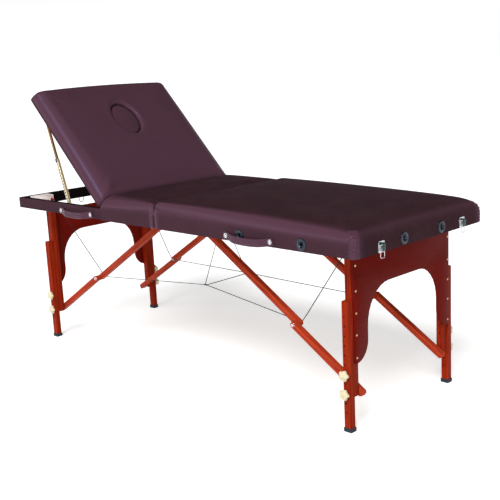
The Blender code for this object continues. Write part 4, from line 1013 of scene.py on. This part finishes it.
def oval_prism(centre_x, half_x, half_y, low, high):
    """An upright oval block."""
    bm = bmesh.new()
    made = bmesh.ops.create_circle(bm, cap_ends=True, segments=64, radius=1.0)["verts"]
    bmesh.ops.transform(bm, verts=made, matrix=Matrix.Translation((centre_x, 0, low))
                        @ Matrix.Diagonal((half_x, half_y, 1, 1)))
    top = bmesh.ops.extrude_face_region(bm, geom=bm.faces[:])["geom"]
    bmesh.ops.translate(bm, verts=[item for item in top if isinstance(item, bmesh.types.BMVert)],
                        vec=(0, 0, high - low))
    bmesh.ops.recalc_face_normals(bm, faces=bm.faces)
    return bm


def refine_rim(bm, middle, half_x, half_y, face_from):
    """Divide the pad's face finer round the oval hole."""
    width = 0.034

    def near(place):
        inside = math.hypot((place.x - middle) / (half_x + width), place.y / (half_y + width)) < 1
        return inside and place.z > face_from

    rim = [edge for edge in bm.edges if near(edge.verts[0].co) and near(edge.verts[1].co)]
    bmesh.ops.subdivide_edges(bm, edges=rim, cuts=2, use_grid_fill=True)


def draw_backrest(bm, low, high, hole, face_from):
    """Draw the skin down into the face hole, and set how tight it is, which also paints sheen: paler over the
    whole face, and in strips along the sides, along the hinge end's edge and round the hole's rim.
    """
    middle, half_x, half_y = hole
    hollow_width = 0.026
    hollow_depth = 0.017
    sheen_band_inset = 0.022
    hem_sheen_inset = 0.010
    hem_sheen_width = 0.012
    stretch = bm.verts.layers.float["stretch"]
    for vert in bm.verts:
        if vert.co.z < face_from:
            continue
        reach = math.hypot((vert.co.x - middle) / half_x, vert.co.y / half_y)
        share = 1 - clamped((reach - 1) * (half_x + half_y) / 2 / hollow_width)
        vert.co.z -= hollow_depth * (1 - math.sqrt(1 - share * share))
        lower = (vert.co.x - low.x) / (high.x - low.x)
        sheen_band_width = 0.013 + 0.020 * lower
        sheen_band = ridge(high.y - abs(vert.co.y) - sheen_band_inset, sheen_band_width) * clamped(vert.normal.z / 0.4)
        hem_sheen = ridge(high.x - vert.co.x - hem_sheen_inset, hem_sheen_width)
        # The whole face is set tighter than the fixed pads, which paints it paler as painted light; the
        # strips along the sides and the hinge end and round the hole are painted highlights, paler and
        # glossier
        drawn = 0.60 + 0.20 * lower + 0.75 * sheen_band + 0.35 * hem_sheen
        vert[stretch] = max(drawn, share ** 0.8 + 0.4 * share ** 2)


def backrest_pad():
    """The raised pad: vinyl drawn round the board's edges, with the oval face hole."""
    size = sizes()
    pad_low, pad_high = backrest_box("backrest_cushion")
    board_low, board_high = backrest_box("backrest_board")
    plug_low, plug_high = backrest_box("face_plug")
    board_bottom = board_high.z - BOARD_THICKNESS
    top = pad_high.z - size.pad_crown - SWELL_ROOM
    end_reach = 0.0045
    tightness = 0.6
    crease_corner = 0.014
    lifts = (0.0075, 0.0025)
    side = (size.pad_edge * 1.2, top - board_high.z - 0.004)
    low = Vector((pad_low.x - end_reach, -pad_high.y - HEM, board_bottom - SEAT))
    high = Vector((pad_high.x, pad_high.y + HEM, top))
    bm = squared_block(low, high, size.pad_square)
    ends = ((size.tight_edge * tightness, size.tight_roll * tightness, size.back_corner, 0.0, top),
            (size.fold_edge, size.fold_edge, crease_corner, CREASE_SLANT, board_high.z))
    shape_pad(bm, low, high, board_high.z, ends, (side, side), size.back_bow, lifts)
    bm.normal_update()
    crease = bm.edges.layers.float.get("crease_edge") or bm.edges.layers.float.new("crease_edge")
    for edge in bm.edges:
        turns = {round(face.normal.z) for face in edge.link_faces}
        if max(vert.co.z for vert in edge.verts) < low.z + 1e-4 and len(turns) > 1:
            edge[crease] = 1.0
    face_from = board_high.z + 0.020
    bm = softened(bm, board_high.z, face_from)
    middle = (plug_low.x + plug_high.x) / 2
    half_x = (plug_high.x - plug_low.x) / 2 + PLUG_GAP
    half_y = (plug_high.y - plug_low.y) / 2 + PLUG_GAP
    refine_rim(bm, middle, half_x, half_y, face_from)
    draw_backrest(bm, low, high, (middle, half_x, half_y), face_from)
    for way in SIDES.values():
        gather_backrest(bm, high, way)
    hole = oval_prism(middle, half_x, half_y, low.z - SPARE, high.z + 0.03)
    past = 0.0001
    far = 0.05
    turned_under = 0.020
    board = bmesh.new()
    add_box(board, (board_low.x - past, board_low.y - past, board_bottom - past),
            (board_high.x + far, board_high.y + past, board_high.z + 2 * past))
    opening = bmesh.new()
    add_box(opening, (board_low.x + turned_under, board_low.y + turned_under, low.z - SPARE),
            (board_high.x + far, board_high.y - turned_under, board_bottom + 0.002))
    mesh = cut(as_mesh("pad", bm), board, opening, hole)
    mesh.transform(BACK_PLACE)
    panel_trim = 0.004
    hinge_corner = 0.012
    trim = rounded_prism((board_low.x + 0.0006, board_low.y + panel_trim, board_low.z - far),
                         (board_high.x + 0.0002, board_high.y - panel_trim, board_high.z + far),
                         (size.back_corner - panel_trim, hinge_corner))
    bmesh.ops.transform(trim, matrix=BACK_PLACE, verts=trim.verts)
    panel = cut(as_mesh("panel", copied("backrest_board")), trim, operation="INTERSECT")
    put("backrest_panel", panel, "backrest", [birch_plywood], ["backrest_board"])
    piece = put("backrest_pad_cover", mesh, "backrest", [vinyl_leatherette],
                ["backrest_cushion"], 60)


def gather_backrest(bm, high, way):
    """Pleats at a lower corner, where the skin is folded under the pad."""
    reach = 0.05
    depth = 0.0015
    pitch = 0.011
    side_width = 0.012
    run_width = 0.03
    for vert in bm.verts:
        run = high.x - vert.co.x
        side = high.y - way * vert.co.y
        if run > reach or side > reach or side < -0.01:
            continue
        fade = ridge(side, side_width) * ridge(run, run_width)
        vert.co.y -= way * depth * fade * math.sin(2 * math.pi * (run + vert.co.z * 0.5) / pitch)


def face_plug():
    """The plug of the face hole: a crowned oval pad with a rounded rim."""
    low, high = backrest_box("face_plug")
    middle = (low.x + high.x) / 2
    half_x = (high.x - low.x) / 2
    half_y = (high.y - low.y) / 2
    sunk = 0.0045
    rim_share = 0.22
    rim_height = 0.012
    top = high.z - sunk
    shoulder = top - 0.016
    profile = [(0.0, low.z), (0.97, low.z), (1.0, low.z + 0.002), (1.0, shoulder)]
    for degrees in (15, 30, 45, 60, 75, 90):
        angle = math.radians(degrees)
        profile.append((1.0 - rim_share * (1 - math.cos(angle)), shoulder + rim_height * math.sin(angle)))
    for reach, drop in ((0.66, 0.0030), (0.5, 0.0020), (0.33, 0.0010), (0.16, 0.0003), (0.0, 0.0)):
        profile.append((reach, top - drop))
    bm = bmesh.new()
    add_turned(bm, profile, (0, 0, 0), (0, 0, 1), 72)
    bmesh.ops.transform(bm, verts=bm.verts, matrix=Matrix.Translation((middle, 0, 0))
                        @ Matrix.Diagonal((half_x, half_y, 1, 1)))
    bm.normal_update()
    stretch = bm.verts.layers.float.new("stretch")
    for vert in bm.verts:
        # The plug's skin is set paler all over as painted light, and more so on its rolled rim as painted
        # sheen
        vert[stretch] = stretched(vert.normal, 0.62)
    mesh = as_mesh("plug", bm)
    mesh.transform(BACK_PLACE)
    piece = put("face_plug_cushion", mesh, "face_plug", [vinyl_leatherette], ["face_plug"], 60)


# Woodwork

def eased_wood(name, node, body, maker):
    """A wooden node's shape with its long edges eased."""
    bm = copied(node)
    ease(bm, sharp_edges(bm, 0.003), sizes().wood_edge)
    put(name, as_mesh(name, bm), body, [maker], [node], 32)


# Fittings

def add_bolt(bm, place, towards, radius, height, recess=True):
    """Add a domed bolt head, with a socket in it where asked."""
    profile = [(0.0, height), (radius * 0.42, height), (radius * 0.62, height * 0.93),
               (radius * 0.85, height * 0.70), (radius * 0.97, height * 0.35), (radius, 0.0), (0.0, 0.0)]
    if recess:
        depth = height * 0.45
        profile = [(0.0, depth), (radius * 0.30, depth), (radius * 0.32, height)] + profile[2:]
    add_turned(bm, profile, place, towards, 24)


def add_screw(bm, place, towards, radius):
    """Add a countersunk screw head, a little hollow in its middle."""
    add_turned(bm, [(0.0, 0.0008), (radius * 0.25, 0.0008), (radius * 0.3, 0.0012), (radius * 0.8, 0.0010),
                    (radius, 0.0003), (radius, -0.0004), (0.0, -0.0004)], place, towards, 20)


def star_knob(bm, seat, way):
    """Add a star knob: a lobed, rounded head on a short collar, with a cap in its middle."""
    size = sizes()
    made = bmesh.ops.create_circle(bm, cap_ends=True, segments=70, radius=1.0)["verts"]
    for vert in made:
        angle = math.atan2(vert.co.y, vert.co.x)
        reach = size.knob_radius + size.knob_lobe * math.cos(5 * angle)
        vert.co = (vert.co.x * reach, vert.co.y * reach, 0.0)
    everything = list(made)
    face = made[0].link_faces[0]
    # Height and share of the full width, from the collar up to the cap
    rings = ((0.0028, 0.78), (0.0034, 0.90), (0.0052, 0.99), (0.0075, 1.02), (0.0105, 1.01), (0.0130, 0.95),
             (0.0148, 0.84), (0.0156, 0.70), (0.0156, 0.46), (0.0146, 0.43), (0.0146, 0.36), (0.0160, 0.33),
             (0.0164, 0.20))
    collar = 0.55
    bmesh.ops.scale(bm, verts=made, vec=(collar, collar, 1.0))
    past = (0.0, collar)
    for number, (height, share) in enumerate(rings):
        grown = bmesh.ops.extrude_face_region(bm, geom=[face])["geom"]
        if number:
            bmesh.ops.delete(bm, geom=[face], context="FACES_ONLY")
        verts = [item for item in grown if isinstance(item, bmesh.types.BMVert)]
        fresh = [item for item in grown if isinstance(item, bmesh.types.BMFace)][0]
        bmesh.ops.scale(bm, verts=verts, vec=(share / past[1], share / past[1], 1.0))
        bmesh.ops.translate(bm, verts=verts, vec=(0, 0, height - past[0]))
        everything += verts
        face = fresh
        past = (height, share)
    turn = Vector((0, way, 0)).to_track_quat("Z", "Y").to_matrix().to_4x4()
    everything = [vert for vert in everything if vert.is_valid]
    bmesh.ops.transform(bm, verts=everything, matrix=Matrix.Translation(seat) @ turn)


def strap_handle(end):
    """A carrying handle: a strap sewn in three rolls that bows out between two bolted plates."""
    size = sizes()
    sign = ENDS[end]
    wall = -RAIL_HIGH.y - size.vinyl - SEAT
    middle = Vector((sign * HANDLE_X, wall, HANDLE_Z))
    thick = 0.0080
    half_length = 0.113
    bulge = 0.0138
    droop = 0.011
    bolt_reach = 0.102
    path = []
    for step in range(49):
        share = step / 48 * 2 - 1
        run = abs(share)
        path.append((middle.x + share * half_length, wall - thick / 2 - bulge * gentle((0.88 - run) / 0.42),
                     middle.z + 0.004 - droop * (1 - run ** 2)))
    profile = bpy.data.curves.new("section", "CURVE")
    profile.dimensions = "2D"
    outline = []
    count = 60
    for step in range(count):
        angle = 2 * math.pi * step / count
        across = math.sin(angle)
        rolls = 0.42 + 0.58 * abs(math.cos(1.5 * math.pi * across)) ** 0.7
        depth = math.copysign(abs(math.cos(angle)) ** 0.55, math.cos(angle))
        outline.append((thick / 2 * depth * rolls, size.strap_height / 2 * across, 0.0))
    add_line(profile, outline).use_cyclic_u = True
    section = bpy.data.objects.new("section", profile)
    curve = bpy.data.curves.new("strap", "CURVE")
    curve.dimensions = "3D"
    curve.twist_mode = "Z_UP"
    curve.bevel_mode = "OBJECT"
    curve.bevel_object = section
    curve.use_fill_caps = True
    add_line(curve, path)
    bm = bmesh.new()
    add_curve(bm, curve)
    bpy.data.objects.remove(section)
    bpy.data.curves.remove(profile)
    # The whole strap gets the paler painted-sheen colour and the glossiest vinyl
    put(f"{end}_handle_strap", as_mesh("strap", bm), f"{end}_half", [vinyl_leatherette],
        [f"{end}_handle"], 50, stretch=1.1)
    plates = bmesh.new()
    washer = [(0.0, 0.0010), (0.0066, 0.0010), (0.0082, 0.0006), (0.0086, -0.0004), (0.0, -0.0004)]
    face = wall - thick
    height = middle.z + 0.003
    for way in (-1, 1):
        px = middle.x + way * bolt_reach
        add_turned(plates, washer, (px, face + SEAT, height), (0, -1, 0), 28)
        add_bolt(plates, (px, face - SEAT, height), (0, -1, 0), 0.0056, 0.0032)
    put(f"{end}_handle_bolts", as_mesh("plates", plates), f"{end}_half", [chrome_plate])


def grommets():
    """The moulded rings of the six accessory sockets, each with its tube into the rail."""
    radius = sizes().grommet_radius
    depth = 0.018
    bore = [(0.0060, -depth), (0.0060, -0.0012), (0.0072, 0.0004), (0.0092, 0.0024), (0.0100, 0.0036),
            (0.0112, 0.0042)]
    flange = [(radius * share, height) for share, height in (
        (0.62, 0.0038), (0.70, 0.0026), (0.78, 0.0024), (0.90, 0.0030), (0.97, 0.0022), (1.0, 0.0))]
    tube = [(0.0067, 0.0), (0.0067, -depth)]
    bm = bmesh.new()
    for place, way in side_sockets(1):
        base = place + way * (sizes().vinyl + SEAT)
        add_turned(bm, bore + flange + tube, base, way, 40, ring=True)
    put("socket_grommets", as_mesh("grommets", bm), "foot_half", [moulded_abs])


def latch(side):
    """A toggle latch on the foot end: plate, lever and spring bail."""
    py = SIDES[side] * LATCH_Y
    wall = RAIL_HIGH.x + sizes().vinyl + SEAT
    axis = Vector(JOINTS[f"latch_swing_{side}"]["pos_m"])
    thick = 0.0014
    bm = bmesh.new()
    add_plate(bm, (wall, py - 0.016, 0.589), (wall + thick, py + 0.016, 0.625), 0.004, 4)
    for aside in (-0.0105, 0.0105):
        add_screw(bm, (wall + thick, py + aside, 0.6195), (1, 0, 0), 0.003)
        ear_y = py + aside * 0.80
        add_eased_box(bm, (wall, ear_y - thick / 2, 0.5965),
                      (wall + 0.0105, ear_y + thick / 2, 0.6150), 0.0005, 1)
    add_rod(bm, (axis.x, py - 0.0092, axis.z), (axis.x, py + 0.0092, axis.z), 0.0016, 16)
    put(f"latch_base_{side}", as_mesh("base", bm), "foot_half", [chrome_plate],
        [f"latch_plate_{side}"])
    lever = bmesh.new()
    add_eased_box(lever, (wall + 0.0018, py - 0.0074, 0.5945),
                  (wall + 0.0132, py + 0.0074, 0.6205), 0.0024, 4)
    put(f"latch_lever_{side}", as_mesh("lever", lever), "foot_half", [teal_abs])
    bail = bmesh.new()
    wide = 0.0098
    deep = 0.0296
    bend = 0.006
    points = [(axis.x, py - wide, axis.z)]
    for way, steps in ((-1, range(7)), (1, range(6, -1, -1))):
        for step in steps:
            angle = math.pi / 2 * step / 6
            points.append((axis.x, py + way * (wide - bend * (1 - math.cos(angle))),
                           axis.z - deep + bend * (1 - math.sin(angle))))
    points.append((axis.x, py + wide, axis.z))
    add_wire(bail, points, 0.0012)
    eye = [(0.0, -0.0009), (0.0027, -0.0009), (0.0032, 0.0), (0.0027, 0.0009), (0.0, 0.0009)]
    for aside in (-wide, wide):
        add_turned(bail, eye, (axis.x, py + aside, axis.z), (0, 1, 0), 20)
    put(f"latch_wire_{side}", as_mesh("bail", bail), f"latch_{side}", [chrome_plate],
        [f"latch_bail_{side}"])


def keepers():
    """The two hooks on the head end that the latches catch, and the wire loop between them."""
    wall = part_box("head_frame")[0][0]
    thick = 0.0014
    hook_bottom = 0.5945
    hook_half = 0.008
    loop_y = -0.033
    loop_half = 0.012
    loop_hang = 0.024
    bm = bmesh.new()
    for way in SIDES.values():
        py = way * LATCH_Y
        add_plate(bm, (wall - thick, py - 0.012, 0.592), (wall + 0.0002, py + 0.012, 0.617), 0.003, 3)
        add_screw(bm, (wall - thick, py, 0.612), (-1, 0, 0), 0.003)
        # The hook's floor, and the lip at its edge
        for out, back, top in ((0.0058, 0.0012, 0.5962), (0.0072, 0.0056, 0.6015)):
            add_eased_box(bm, (wall - out, py - hook_half, hook_bottom),
                          (wall - back, py + hook_half, top), 0.0005, 1)
    loop = []
    for step in range(25):
        angle = math.pi * step / 24
        loop.append((wall + 0.011, loop_y - loop_half * math.cos(angle),
                     0.5905 - loop_hang * math.sin(angle) ** 0.7))
    put("latch_keepers", as_mesh("keepers", bm), "head_half", [chrome_plate])
    wire = bmesh.new()
    add_wire(wire, loop, 0.0015)
    hung = put("storage_loop", as_mesh("loop", wire), "head_half", [coated_cable])
    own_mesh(hung)


def strut_place():
    """Where a strut's own axes lie at rest: z from its foot to its head, x to the front."""
    along = (BACK_PLACE @ STRUT_HEAD - STRUT_FOOT).normalized()
    front = Vector((along.z, 0.0, -along.x))
    return Matrix.Translation(STRUT_FOOT) @ Matrix((front, (0, 1, 0), along)).transposed().to_4x4()


def strut_channels():
    """Folded steel channels with a row of punched slots, each with a guide block and a foot bolt."""
    place = strut_place()
    half_slot = 0.0036
    outer = 0.0062
    inner_x = 0.0054
    inner_y = 0.0044
    guide_low = 0.190
    guide_high = 0.2058
    half_guide = 0.0007
    for side, way in SIDES.items():
        slots = bmesh.new()
        wall = way * (STRUT_Y + outer)
        for step in range(SLOT_COUNT):
            height = SLOT_FIRST + SLOT_PITCH * step
            made = add_box(slots, (-half_slot, wall - 0.003, height - half_slot),
                           (half_slot, wall + 0.003, height + half_slot))
            ease(slots, running(edges_of(made), 1), 0.0026, 3)
        bmesh.ops.transform(slots, verts=slots.verts, matrix=place)
        mesh = cut(as_mesh("channel", copied(f"strut_channel_{side}")), slots)
        flat = place.inverted()
        for face in mesh.polygons:
            spot = flat @ face.center
            # The channel's inner faces get the blackened finish as painted shade, so that the slots read as
            # dark holes
            inside = abs(spot.x) < inner_x and abs(spot.y - way * STRUT_Y) < inner_y
            face.material_index = 1 if inside else 0
        put(f"strut_slotted_channel_{side}", mesh, "strut_channels", [zinc_plate, black_oxide],
            [f"strut_channel_{side}"])
        bm = bmesh.new()
        add_bolt(bm, STRUT_FOOT + Vector((0, way * (STRUT_Y - outer), 0)), (0, -way, 0), 0.005, 0.002)
        put(f"strut_foot_bolt_{side}", as_mesh("bolt", bm), "strut_channels", [chrome_plate])
        guide = bmesh.new()
        middle = way * (STRUT_Y + 0.0068)
        add_eased_box(guide, (-outer, middle - half_guide, guide_low),
                      (outer, middle + half_guide, guide_high), 0.0006, 2)
        bmesh.ops.transform(guide, verts=guide.verts, matrix=place)
        put(f"strut_guide_{side}", as_mesh("guide", guide), "strut_channels", [moulded_abs])


def brace_cables(end):
    """The thin cables that hold the elbows of one half's braces, one run from leg to leg."""
    sign = ENDS[end]
    beside = 0.0040
    clamp_run = 0.030
    hinge_z = 0.5762
    bolt_y = LEG_IN_Y - beside
    elbow_y = LINK_IN_Y - beside
    run = clamp_run / (LEG_PIVOT - ELBOW).length
    lead = ELBOW + (LEG_PIVOT - ELBOW) * run
    tee = (sign * 0.004, 0.115, 0.325)
    near = [(sign * LEG_PIVOT.x, bolt_y, LEG_PIVOT.z), (sign * lead.x, elbow_y, lead.z),
            (sign * ELBOW.x, elbow_y, ELBOW.z), tee]
    far = [(px, -py, pz) for px, py, pz in reversed(near)]
    middle = [] if sign > 0 else [(tee[0], 0.0, hinge_z)]
    bm = bmesh.new()
    add_wire(bm, near + middle + far, sizes().cable_radius, resolution=4)
    sleeve = [(0.0, -0.004), (0.0022, -0.004), (0.0026, -0.003),
              (0.0026, 0.003), (0.0022, 0.004), (0.0, 0.004)]
    for px, py, pz in (near[-1], far[0]):
        towards = (ELBOW.x * sign - px, math.copysign(elbow_y, py) - py, ELBOW.z - pz)
        add_turned(bm, sleeve, (px, py, pz), towards, 14)
    piece = put(f"{end}_cable", as_mesh("cable", bm), f"{end}_half", [coated_cable],
                [f"brace_cable_{end}"], 50)
    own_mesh(piece)


class TABLE_OT_stage(bpy.types.Operator):
    """Add the studio floor, the light and the camera at the photograph's angle"""
    bl_idname = "table.stage"
    bl_label = "Stage and camera"

    def execute(self, context):
        scene = context.scene
        scene.view_settings.view_transform = "Standard"
        azimuth, elevation, roll = (math.radians(angle) for angle in CAMERA_ANGLES)
        back = Vector((math.sin(azimuth) * math.cos(elevation), -math.cos(azimuth) * math.cos(elevation),
                       math.sin(elevation)))
        right = Vector((math.cos(azimuth), math.sin(azimuth), 0))
        up = back.cross(right)
        turned = Matrix((right * math.cos(roll) + up * math.sin(roll),
                         up * math.cos(roll) - right * math.sin(roll), back)).transposed()
        lens = bpy.data.cameras.new("photo_camera")
        lens.sensor_width = SENSOR_MM
        lens.lens = SENSOR_MM * FOCAL_PIXELS / PICTURE_PIXELS
        camera = bpy.data.objects.new("photo_camera", lens)
        stand = CAMERA_TARGET + back * CAMERA_DISTANCE
        camera.matrix_world = Matrix.Translation(stand) @ turned.to_4x4()
        scene.collection.objects.link(camera)
        scene.camera = camera
        for name, (towards, strength, angle) in LIGHTS.items():
            lamp = bpy.data.lights.new(name, "SUN")
            lamp.energy = strength
            lamp.angle = math.radians(angle)
            light = bpy.data.objects.new(name, lamp)
            light.rotation_euler = Vector(towards).to_track_quat("Z", "Y").to_euler()
            scene.collection.objects.link(light)
        self.add_world(scene)
        self.add_floor(scene)
        return {"FINISHED"}

    def add_world(self, scene):
        """A studio that is white at the horizon and falls slowly to near dark overhead."""
        world = bpy.data.worlds.new("studio")
        world.use_nodes = True
        tree = world.node_tree
        tree.nodes.clear()
        place = add_node(tree, "ShaderNodeTexCoord").outputs["Generated"]
        parts = add_node(tree, "ShaderNodeSeparateXYZ", {"Vector": place})
        rise = add_node(tree, "ShaderNodeMapRange", {
            "Value": parts.outputs["Z"], "From Min": 0.06, "From Max": 0.34, "To Min": 1.0, "To Max": 0.06})
        sky = add_node(tree, "ShaderNodeBackground", {"Color": WHITE, "Strength": rise.outputs["Result"]})
        add_node(tree, "ShaderNodeOutputWorld", {"Surface": sky.outputs["Background"]})
        scene.world = world

    def add_floor(self, scene):
        """A pale floor that keeps the shadow and shows near white."""
        bm = bmesh.new()
        bmesh.ops.create_circle(bm, cap_ends=True, segments=96, radius=60.0)
        bmesh.ops.translate(bm, verts=bm.verts, vec=(0, 0, -0.0002))
        mesh = as_mesh("studio_floor", bm)
        made, tree, shader = new_finish("painted_floor", Roughness=0.9, Specular_IOR_Level=0.0)
        place = add_node(tree, "ShaderNodeTexCoord").outputs["Object"]
        mottle = add_node(tree, "ShaderNodeTexNoise", {"Vector": place, "Scale": 1 / 0.6, "Detail": 2.0})
        tint = add_node(tree, "ShaderNodeMix", {
            0: mottle.outputs["Fac"], 6: colour("floor", (0.985, 0.985, 0.985)), 7: colour("floor")},
            data_type="RGBA")
        tree.links.new(tint.outputs[2], shader.inputs["Base Color"])
        path = add_node(tree, "ShaderNodeLightPath")
        seen = add_node(tree, "ShaderNodeMath", {
            0: path.outputs["Is Camera Ray"], 1: path.outputs["Is Glossy Ray"]}, operation="MAXIMUM")
        seen = add_node(tree, "ShaderNodeMath", {
            0: seen.outputs["Value"], 1: path.outputs["Is Transmission Ray"]}, operation="MAXIMUM")
        lift = add_node(tree, "ShaderNodeMath", {
            0: seen.outputs["Value"], 1: FLOOR_LIFT}, operation="MULTIPLY")
        shader.inputs["Emission Color"].default_value = WHITE
        tree.links.new(lift.outputs["Value"], shader.inputs["Emission Strength"])
        mesh.materials.append(made)
        floor = bpy.data.objects.new("studio_floor", mesh)
        scene.collection.objects.link(floor)


class TABLE_OT_cables(bpy.types.Operator):
    """Run the cables that hold the braces' elbows"""
    bl_idname = "table.cables"
    bl_label = "Brace cables"

    def execute(self, context):
        for end in ENDS:
            brace_cables(end)
        return {"FINISHED"}


class TABLE_OT_fixed_pads(bpy.types.Operator):
    """Upholster the two halves: pads, rails and decks"""
    bl_idname = "table.fixed_pads"
    bl_label = "Fixed pads and rails"

    def execute(self, context):
        for end in ENDS:
            fixed_pad(end)
            frame_rails(end)
            deck_board(end)
        return {"FINISHED"}


class TABLE_OT_backrest(bpy.types.Operator):
    """Upholster the raised backrest and the plug of its face hole"""
    bl_idname = "table.backrest"
    bl_label = "Backrest pad and plug"

    def execute(self, context):
        backrest_pad()
        face_plug()
        return {"FINISHED"}


class TABLE_OT_legs(bpy.types.Operator):
    """Ease the legs, their extensions, the corner blocks and the arched aprons"""
    bl_idname = "table.legs"
    bl_label = "Legs and aprons"

    def execute(self, context):
        for end in ENDS:
            for side in SIDES:
                eased_wood(f"{end}_main_leg_{side}", f"{end}_leg_{side}", f"{end}_legs",
                           lacquered_beech)
                eased_wood(f"{end}_sliding_leg_{side}", f"{end}_extension_{side}", f"{end}_{side}_extension",
                           lacquered_beech)
                eased_wood(f"{end}_leg_block_{side}", f"{end}_corner_block_{side}", f"{end}_half",
                           bare_poplar)
            eased_wood(f"{end}_arched_apron", f"{end}_apron", f"{end}_legs", lacquered_plywood)
        return {"FINISHED"}


class TABLE_OT_braces(bpy.types.Operator):
    """Ease the braces' upper and lower links"""
    bl_idname = "table.braces"
    bl_label = "Braces"

    def execute(self, context):
        makers = {"foot": lacquered_beech_foot_brace, "head": lacquered_beech_head_brace}
        for end in ENDS:
            for place in PLACES:
                for side in SIDES:
                    eased_wood(f"{end}_{place}_link_{side}", f"{end}_{place}_brace_{side}",
                               f"{end}_{place}_braces", makers[end])
        return {"FINISHED"}


class TABLE_OT_knobs(bpy.types.Operator):
    """Fit the star knobs and the rubber feet"""
    bl_idname = "table.knobs"
    bl_label = "Knobs and feet"

    def execute(self, context):
        for end in ENDS:
            for side, way in SIDES.items():
                for place in PLACES:
                    spot = Vector(JOINTS[f"{end}_{side}_{place}_knob_turn"]["pos_m"])
                    bm = bmesh.new()
                    star_knob(bm, (spot.x, way * (EXTENSION_HIGH.y + SEAT), spot.z), way)
                    put(f"{end}_star_knob_{side}_{place}", as_mesh("knob", bm), f"{end}_{side}_{place}_knob",
                        [moulded_nylon], [f"{end}_knob_{side}_{place}"], 40)
                bm = copied(f"{end}_foot_{side}")
                ease(bm, sharp_edges(bm, 0.004), 0.0016, 3)
                put(f"{end}_rubber_foot_{side}", as_mesh("foot", bm), f"{end}_{side}_extension",
                    [moulded_rubber], [f"{end}_foot_{side}"])
        return {"FINISHED"}


class TABLE_OT_handles(bpy.types.Operator):
    """Sew and bolt the carrying handles"""
    bl_idname = "table.handles"
    bl_label = "Carrying handles"

    def execute(self, context):
        for end in ENDS:
            strap_handle(end)
        return {"FINISHED"}


class TABLE_OT_sockets(bpy.types.Operator):
    """Press the grommets into the accessory sockets"""
    bl_idname = "table.sockets"
    bl_label = "Socket grommets"

    def execute(self, context):
        grommets()
        return {"FINISHED"}


class TABLE_OT_latches(bpy.types.Operator):
    """Fit the latches of the foot end and their keepers on the head end"""
    bl_idname = "table.latches"
    bl_label = "Latches and keepers"

    def execute(self, context):
        for side in SIDES:
            latch(side)
        keepers()
        return {"FINISHED"}


class TABLE_OT_struts(bpy.types.Operator):
    """Slot the strut channels and fit their guides and foot bolts"""
    bl_idname = "table.struts"
    bl_label = "Backrest struts"

    def execute(self, context):
        strut_channels()
        return {"FINISHED"}


class TABLE_OT_fasteners(bpy.types.Operator):
    """Drive the bolts and screws of legs, braces and aprons"""
    bl_idname = "table.fasteners"
    bl_label = "Bolts and screws"

    def execute(self, context):
        for end, sign in ENDS.items():
            legs = bmesh.new()
            uppers = bmesh.new()
            lowers = bmesh.new()
            screws = bmesh.new()
            for way in SIDES.values():
                inward = (0, -way, 0)
                for bm, place, py, towards in (
                        (legs, LEG_PIVOT, LEG_IN_Y, inward), (uppers, ELBOW, LINK_IN_Y, inward),
                        (lowers, ELBOW, LINK_OUT_Y, (0, way, 0))):
                    add_bolt(bm, (sign * place.x, way * py, place.z), towards, 0.0086, 0.0024, False)
                add_bolt(uppers, (sign * BRACE_TOP.x, way * LINK_IN_Y, BRACE_TOP.z), inward, 0.0080, 0.0030)
                for height in APRON_SCREWS:
                    spot = (sign * APRON_HIGH.x, way * APRON_SCREW_Y, height)
                    add_screw(screws, spot, (sign, 0, 0), 0.0038)
            for name, body, bm in (("leg", "legs", legs), ("upper_brace", "upper_braces", uppers),
                                   ("lower_brace", "lower_braces", lowers)):
                put(f"{end}_{name}_bolts", as_mesh("bolts", bm), f"{end}_{body}",
                    [chrome_plate])
            put(f"{end}_apron_screws", as_mesh("screws", screws), f"{end}_legs", [brass_plate])
        return {"FINISHED"}


class TABLE_OT_finishes(bpy.types.Operator):
    """Give the hinges and the strut bars, which keep their own shapes, their finish"""
    bl_idname = "table.finishes"
    bl_label = "Hinges and strut bars"

    def execute(self, context):
        kept = {zinc_plate: ("fold_hinge_foot_leaf", "fold_hinge_head_leaf"),
                black_oxide: ("backrest_hinge_frame_leaf", "backrest_hinge_board_leaf"),
                bronze_plate: ("strut_bar_near", "strut_bar_far"), chrome_plate: ("fold_hinge_pin",)}
        for maker, nodes in kept.items():
            for node in nodes:
                for place in NODES[node].material_slots:
                    place.material = finish(maker)
        return {"FINISHED"}


STEPS = (
    TABLE_OT_stage, TABLE_OT_cables, TABLE_OT_fixed_pads, TABLE_OT_backrest, TABLE_OT_legs,
    TABLE_OT_braces, TABLE_OT_knobs, TABLE_OT_handles, TABLE_OT_sockets, TABLE_OT_latches,
    TABLE_OT_struts, TABLE_OT_fasteners, TABLE_OT_finishes)


class TABLE_PT_build(bpy.types.Panel):
    """Lists the table's pieces in the order they are made"""
    bl_idname = "TABLE_PT_build"
    bl_label = "Massage table"
    bl_space_type = "VIEW_3D"
    bl_region_type = "UI"
    bl_category = "Table"

    def draw(self, context):
        for step in STEPS:
            self.layout.operator(step.bl_idname)
        for group in (context.scene.table_sizes, context.scene.table_colours):
            column = self.layout.column(align=True)
            for name in group.bl_rna.properties.keys():
                if name not in ("rna_type", "name"):
                    column.prop(group, name)


CLASSES = (TableSizes, TableColours, *STEPS, TABLE_PT_build)


def register():
    """Add the classes and the table's settings."""
    for kind in CLASSES:
        bpy.utils.register_class(kind)
    bpy.types.Scene.table_sizes = bpy.props.PointerProperty(type=TableSizes)
    bpy.types.Scene.table_colours = bpy.props.PointerProperty(type=TableColours)


def unregister():
    """Take the settings and the classes away again."""
    del bpy.types.Scene.table_colours
    del bpy.types.Scene.table_sizes
    for kind in reversed(CLASSES):
        bpy.utils.unregister_class(kind)


def main():
    """Make the table piece by piece."""
    register()
    for step in STEPS:
        group, name = step.bl_idname.split(".")
        getattr(getattr(bpy.ops, group), name)()


if __name__ == "__main__":
    main()
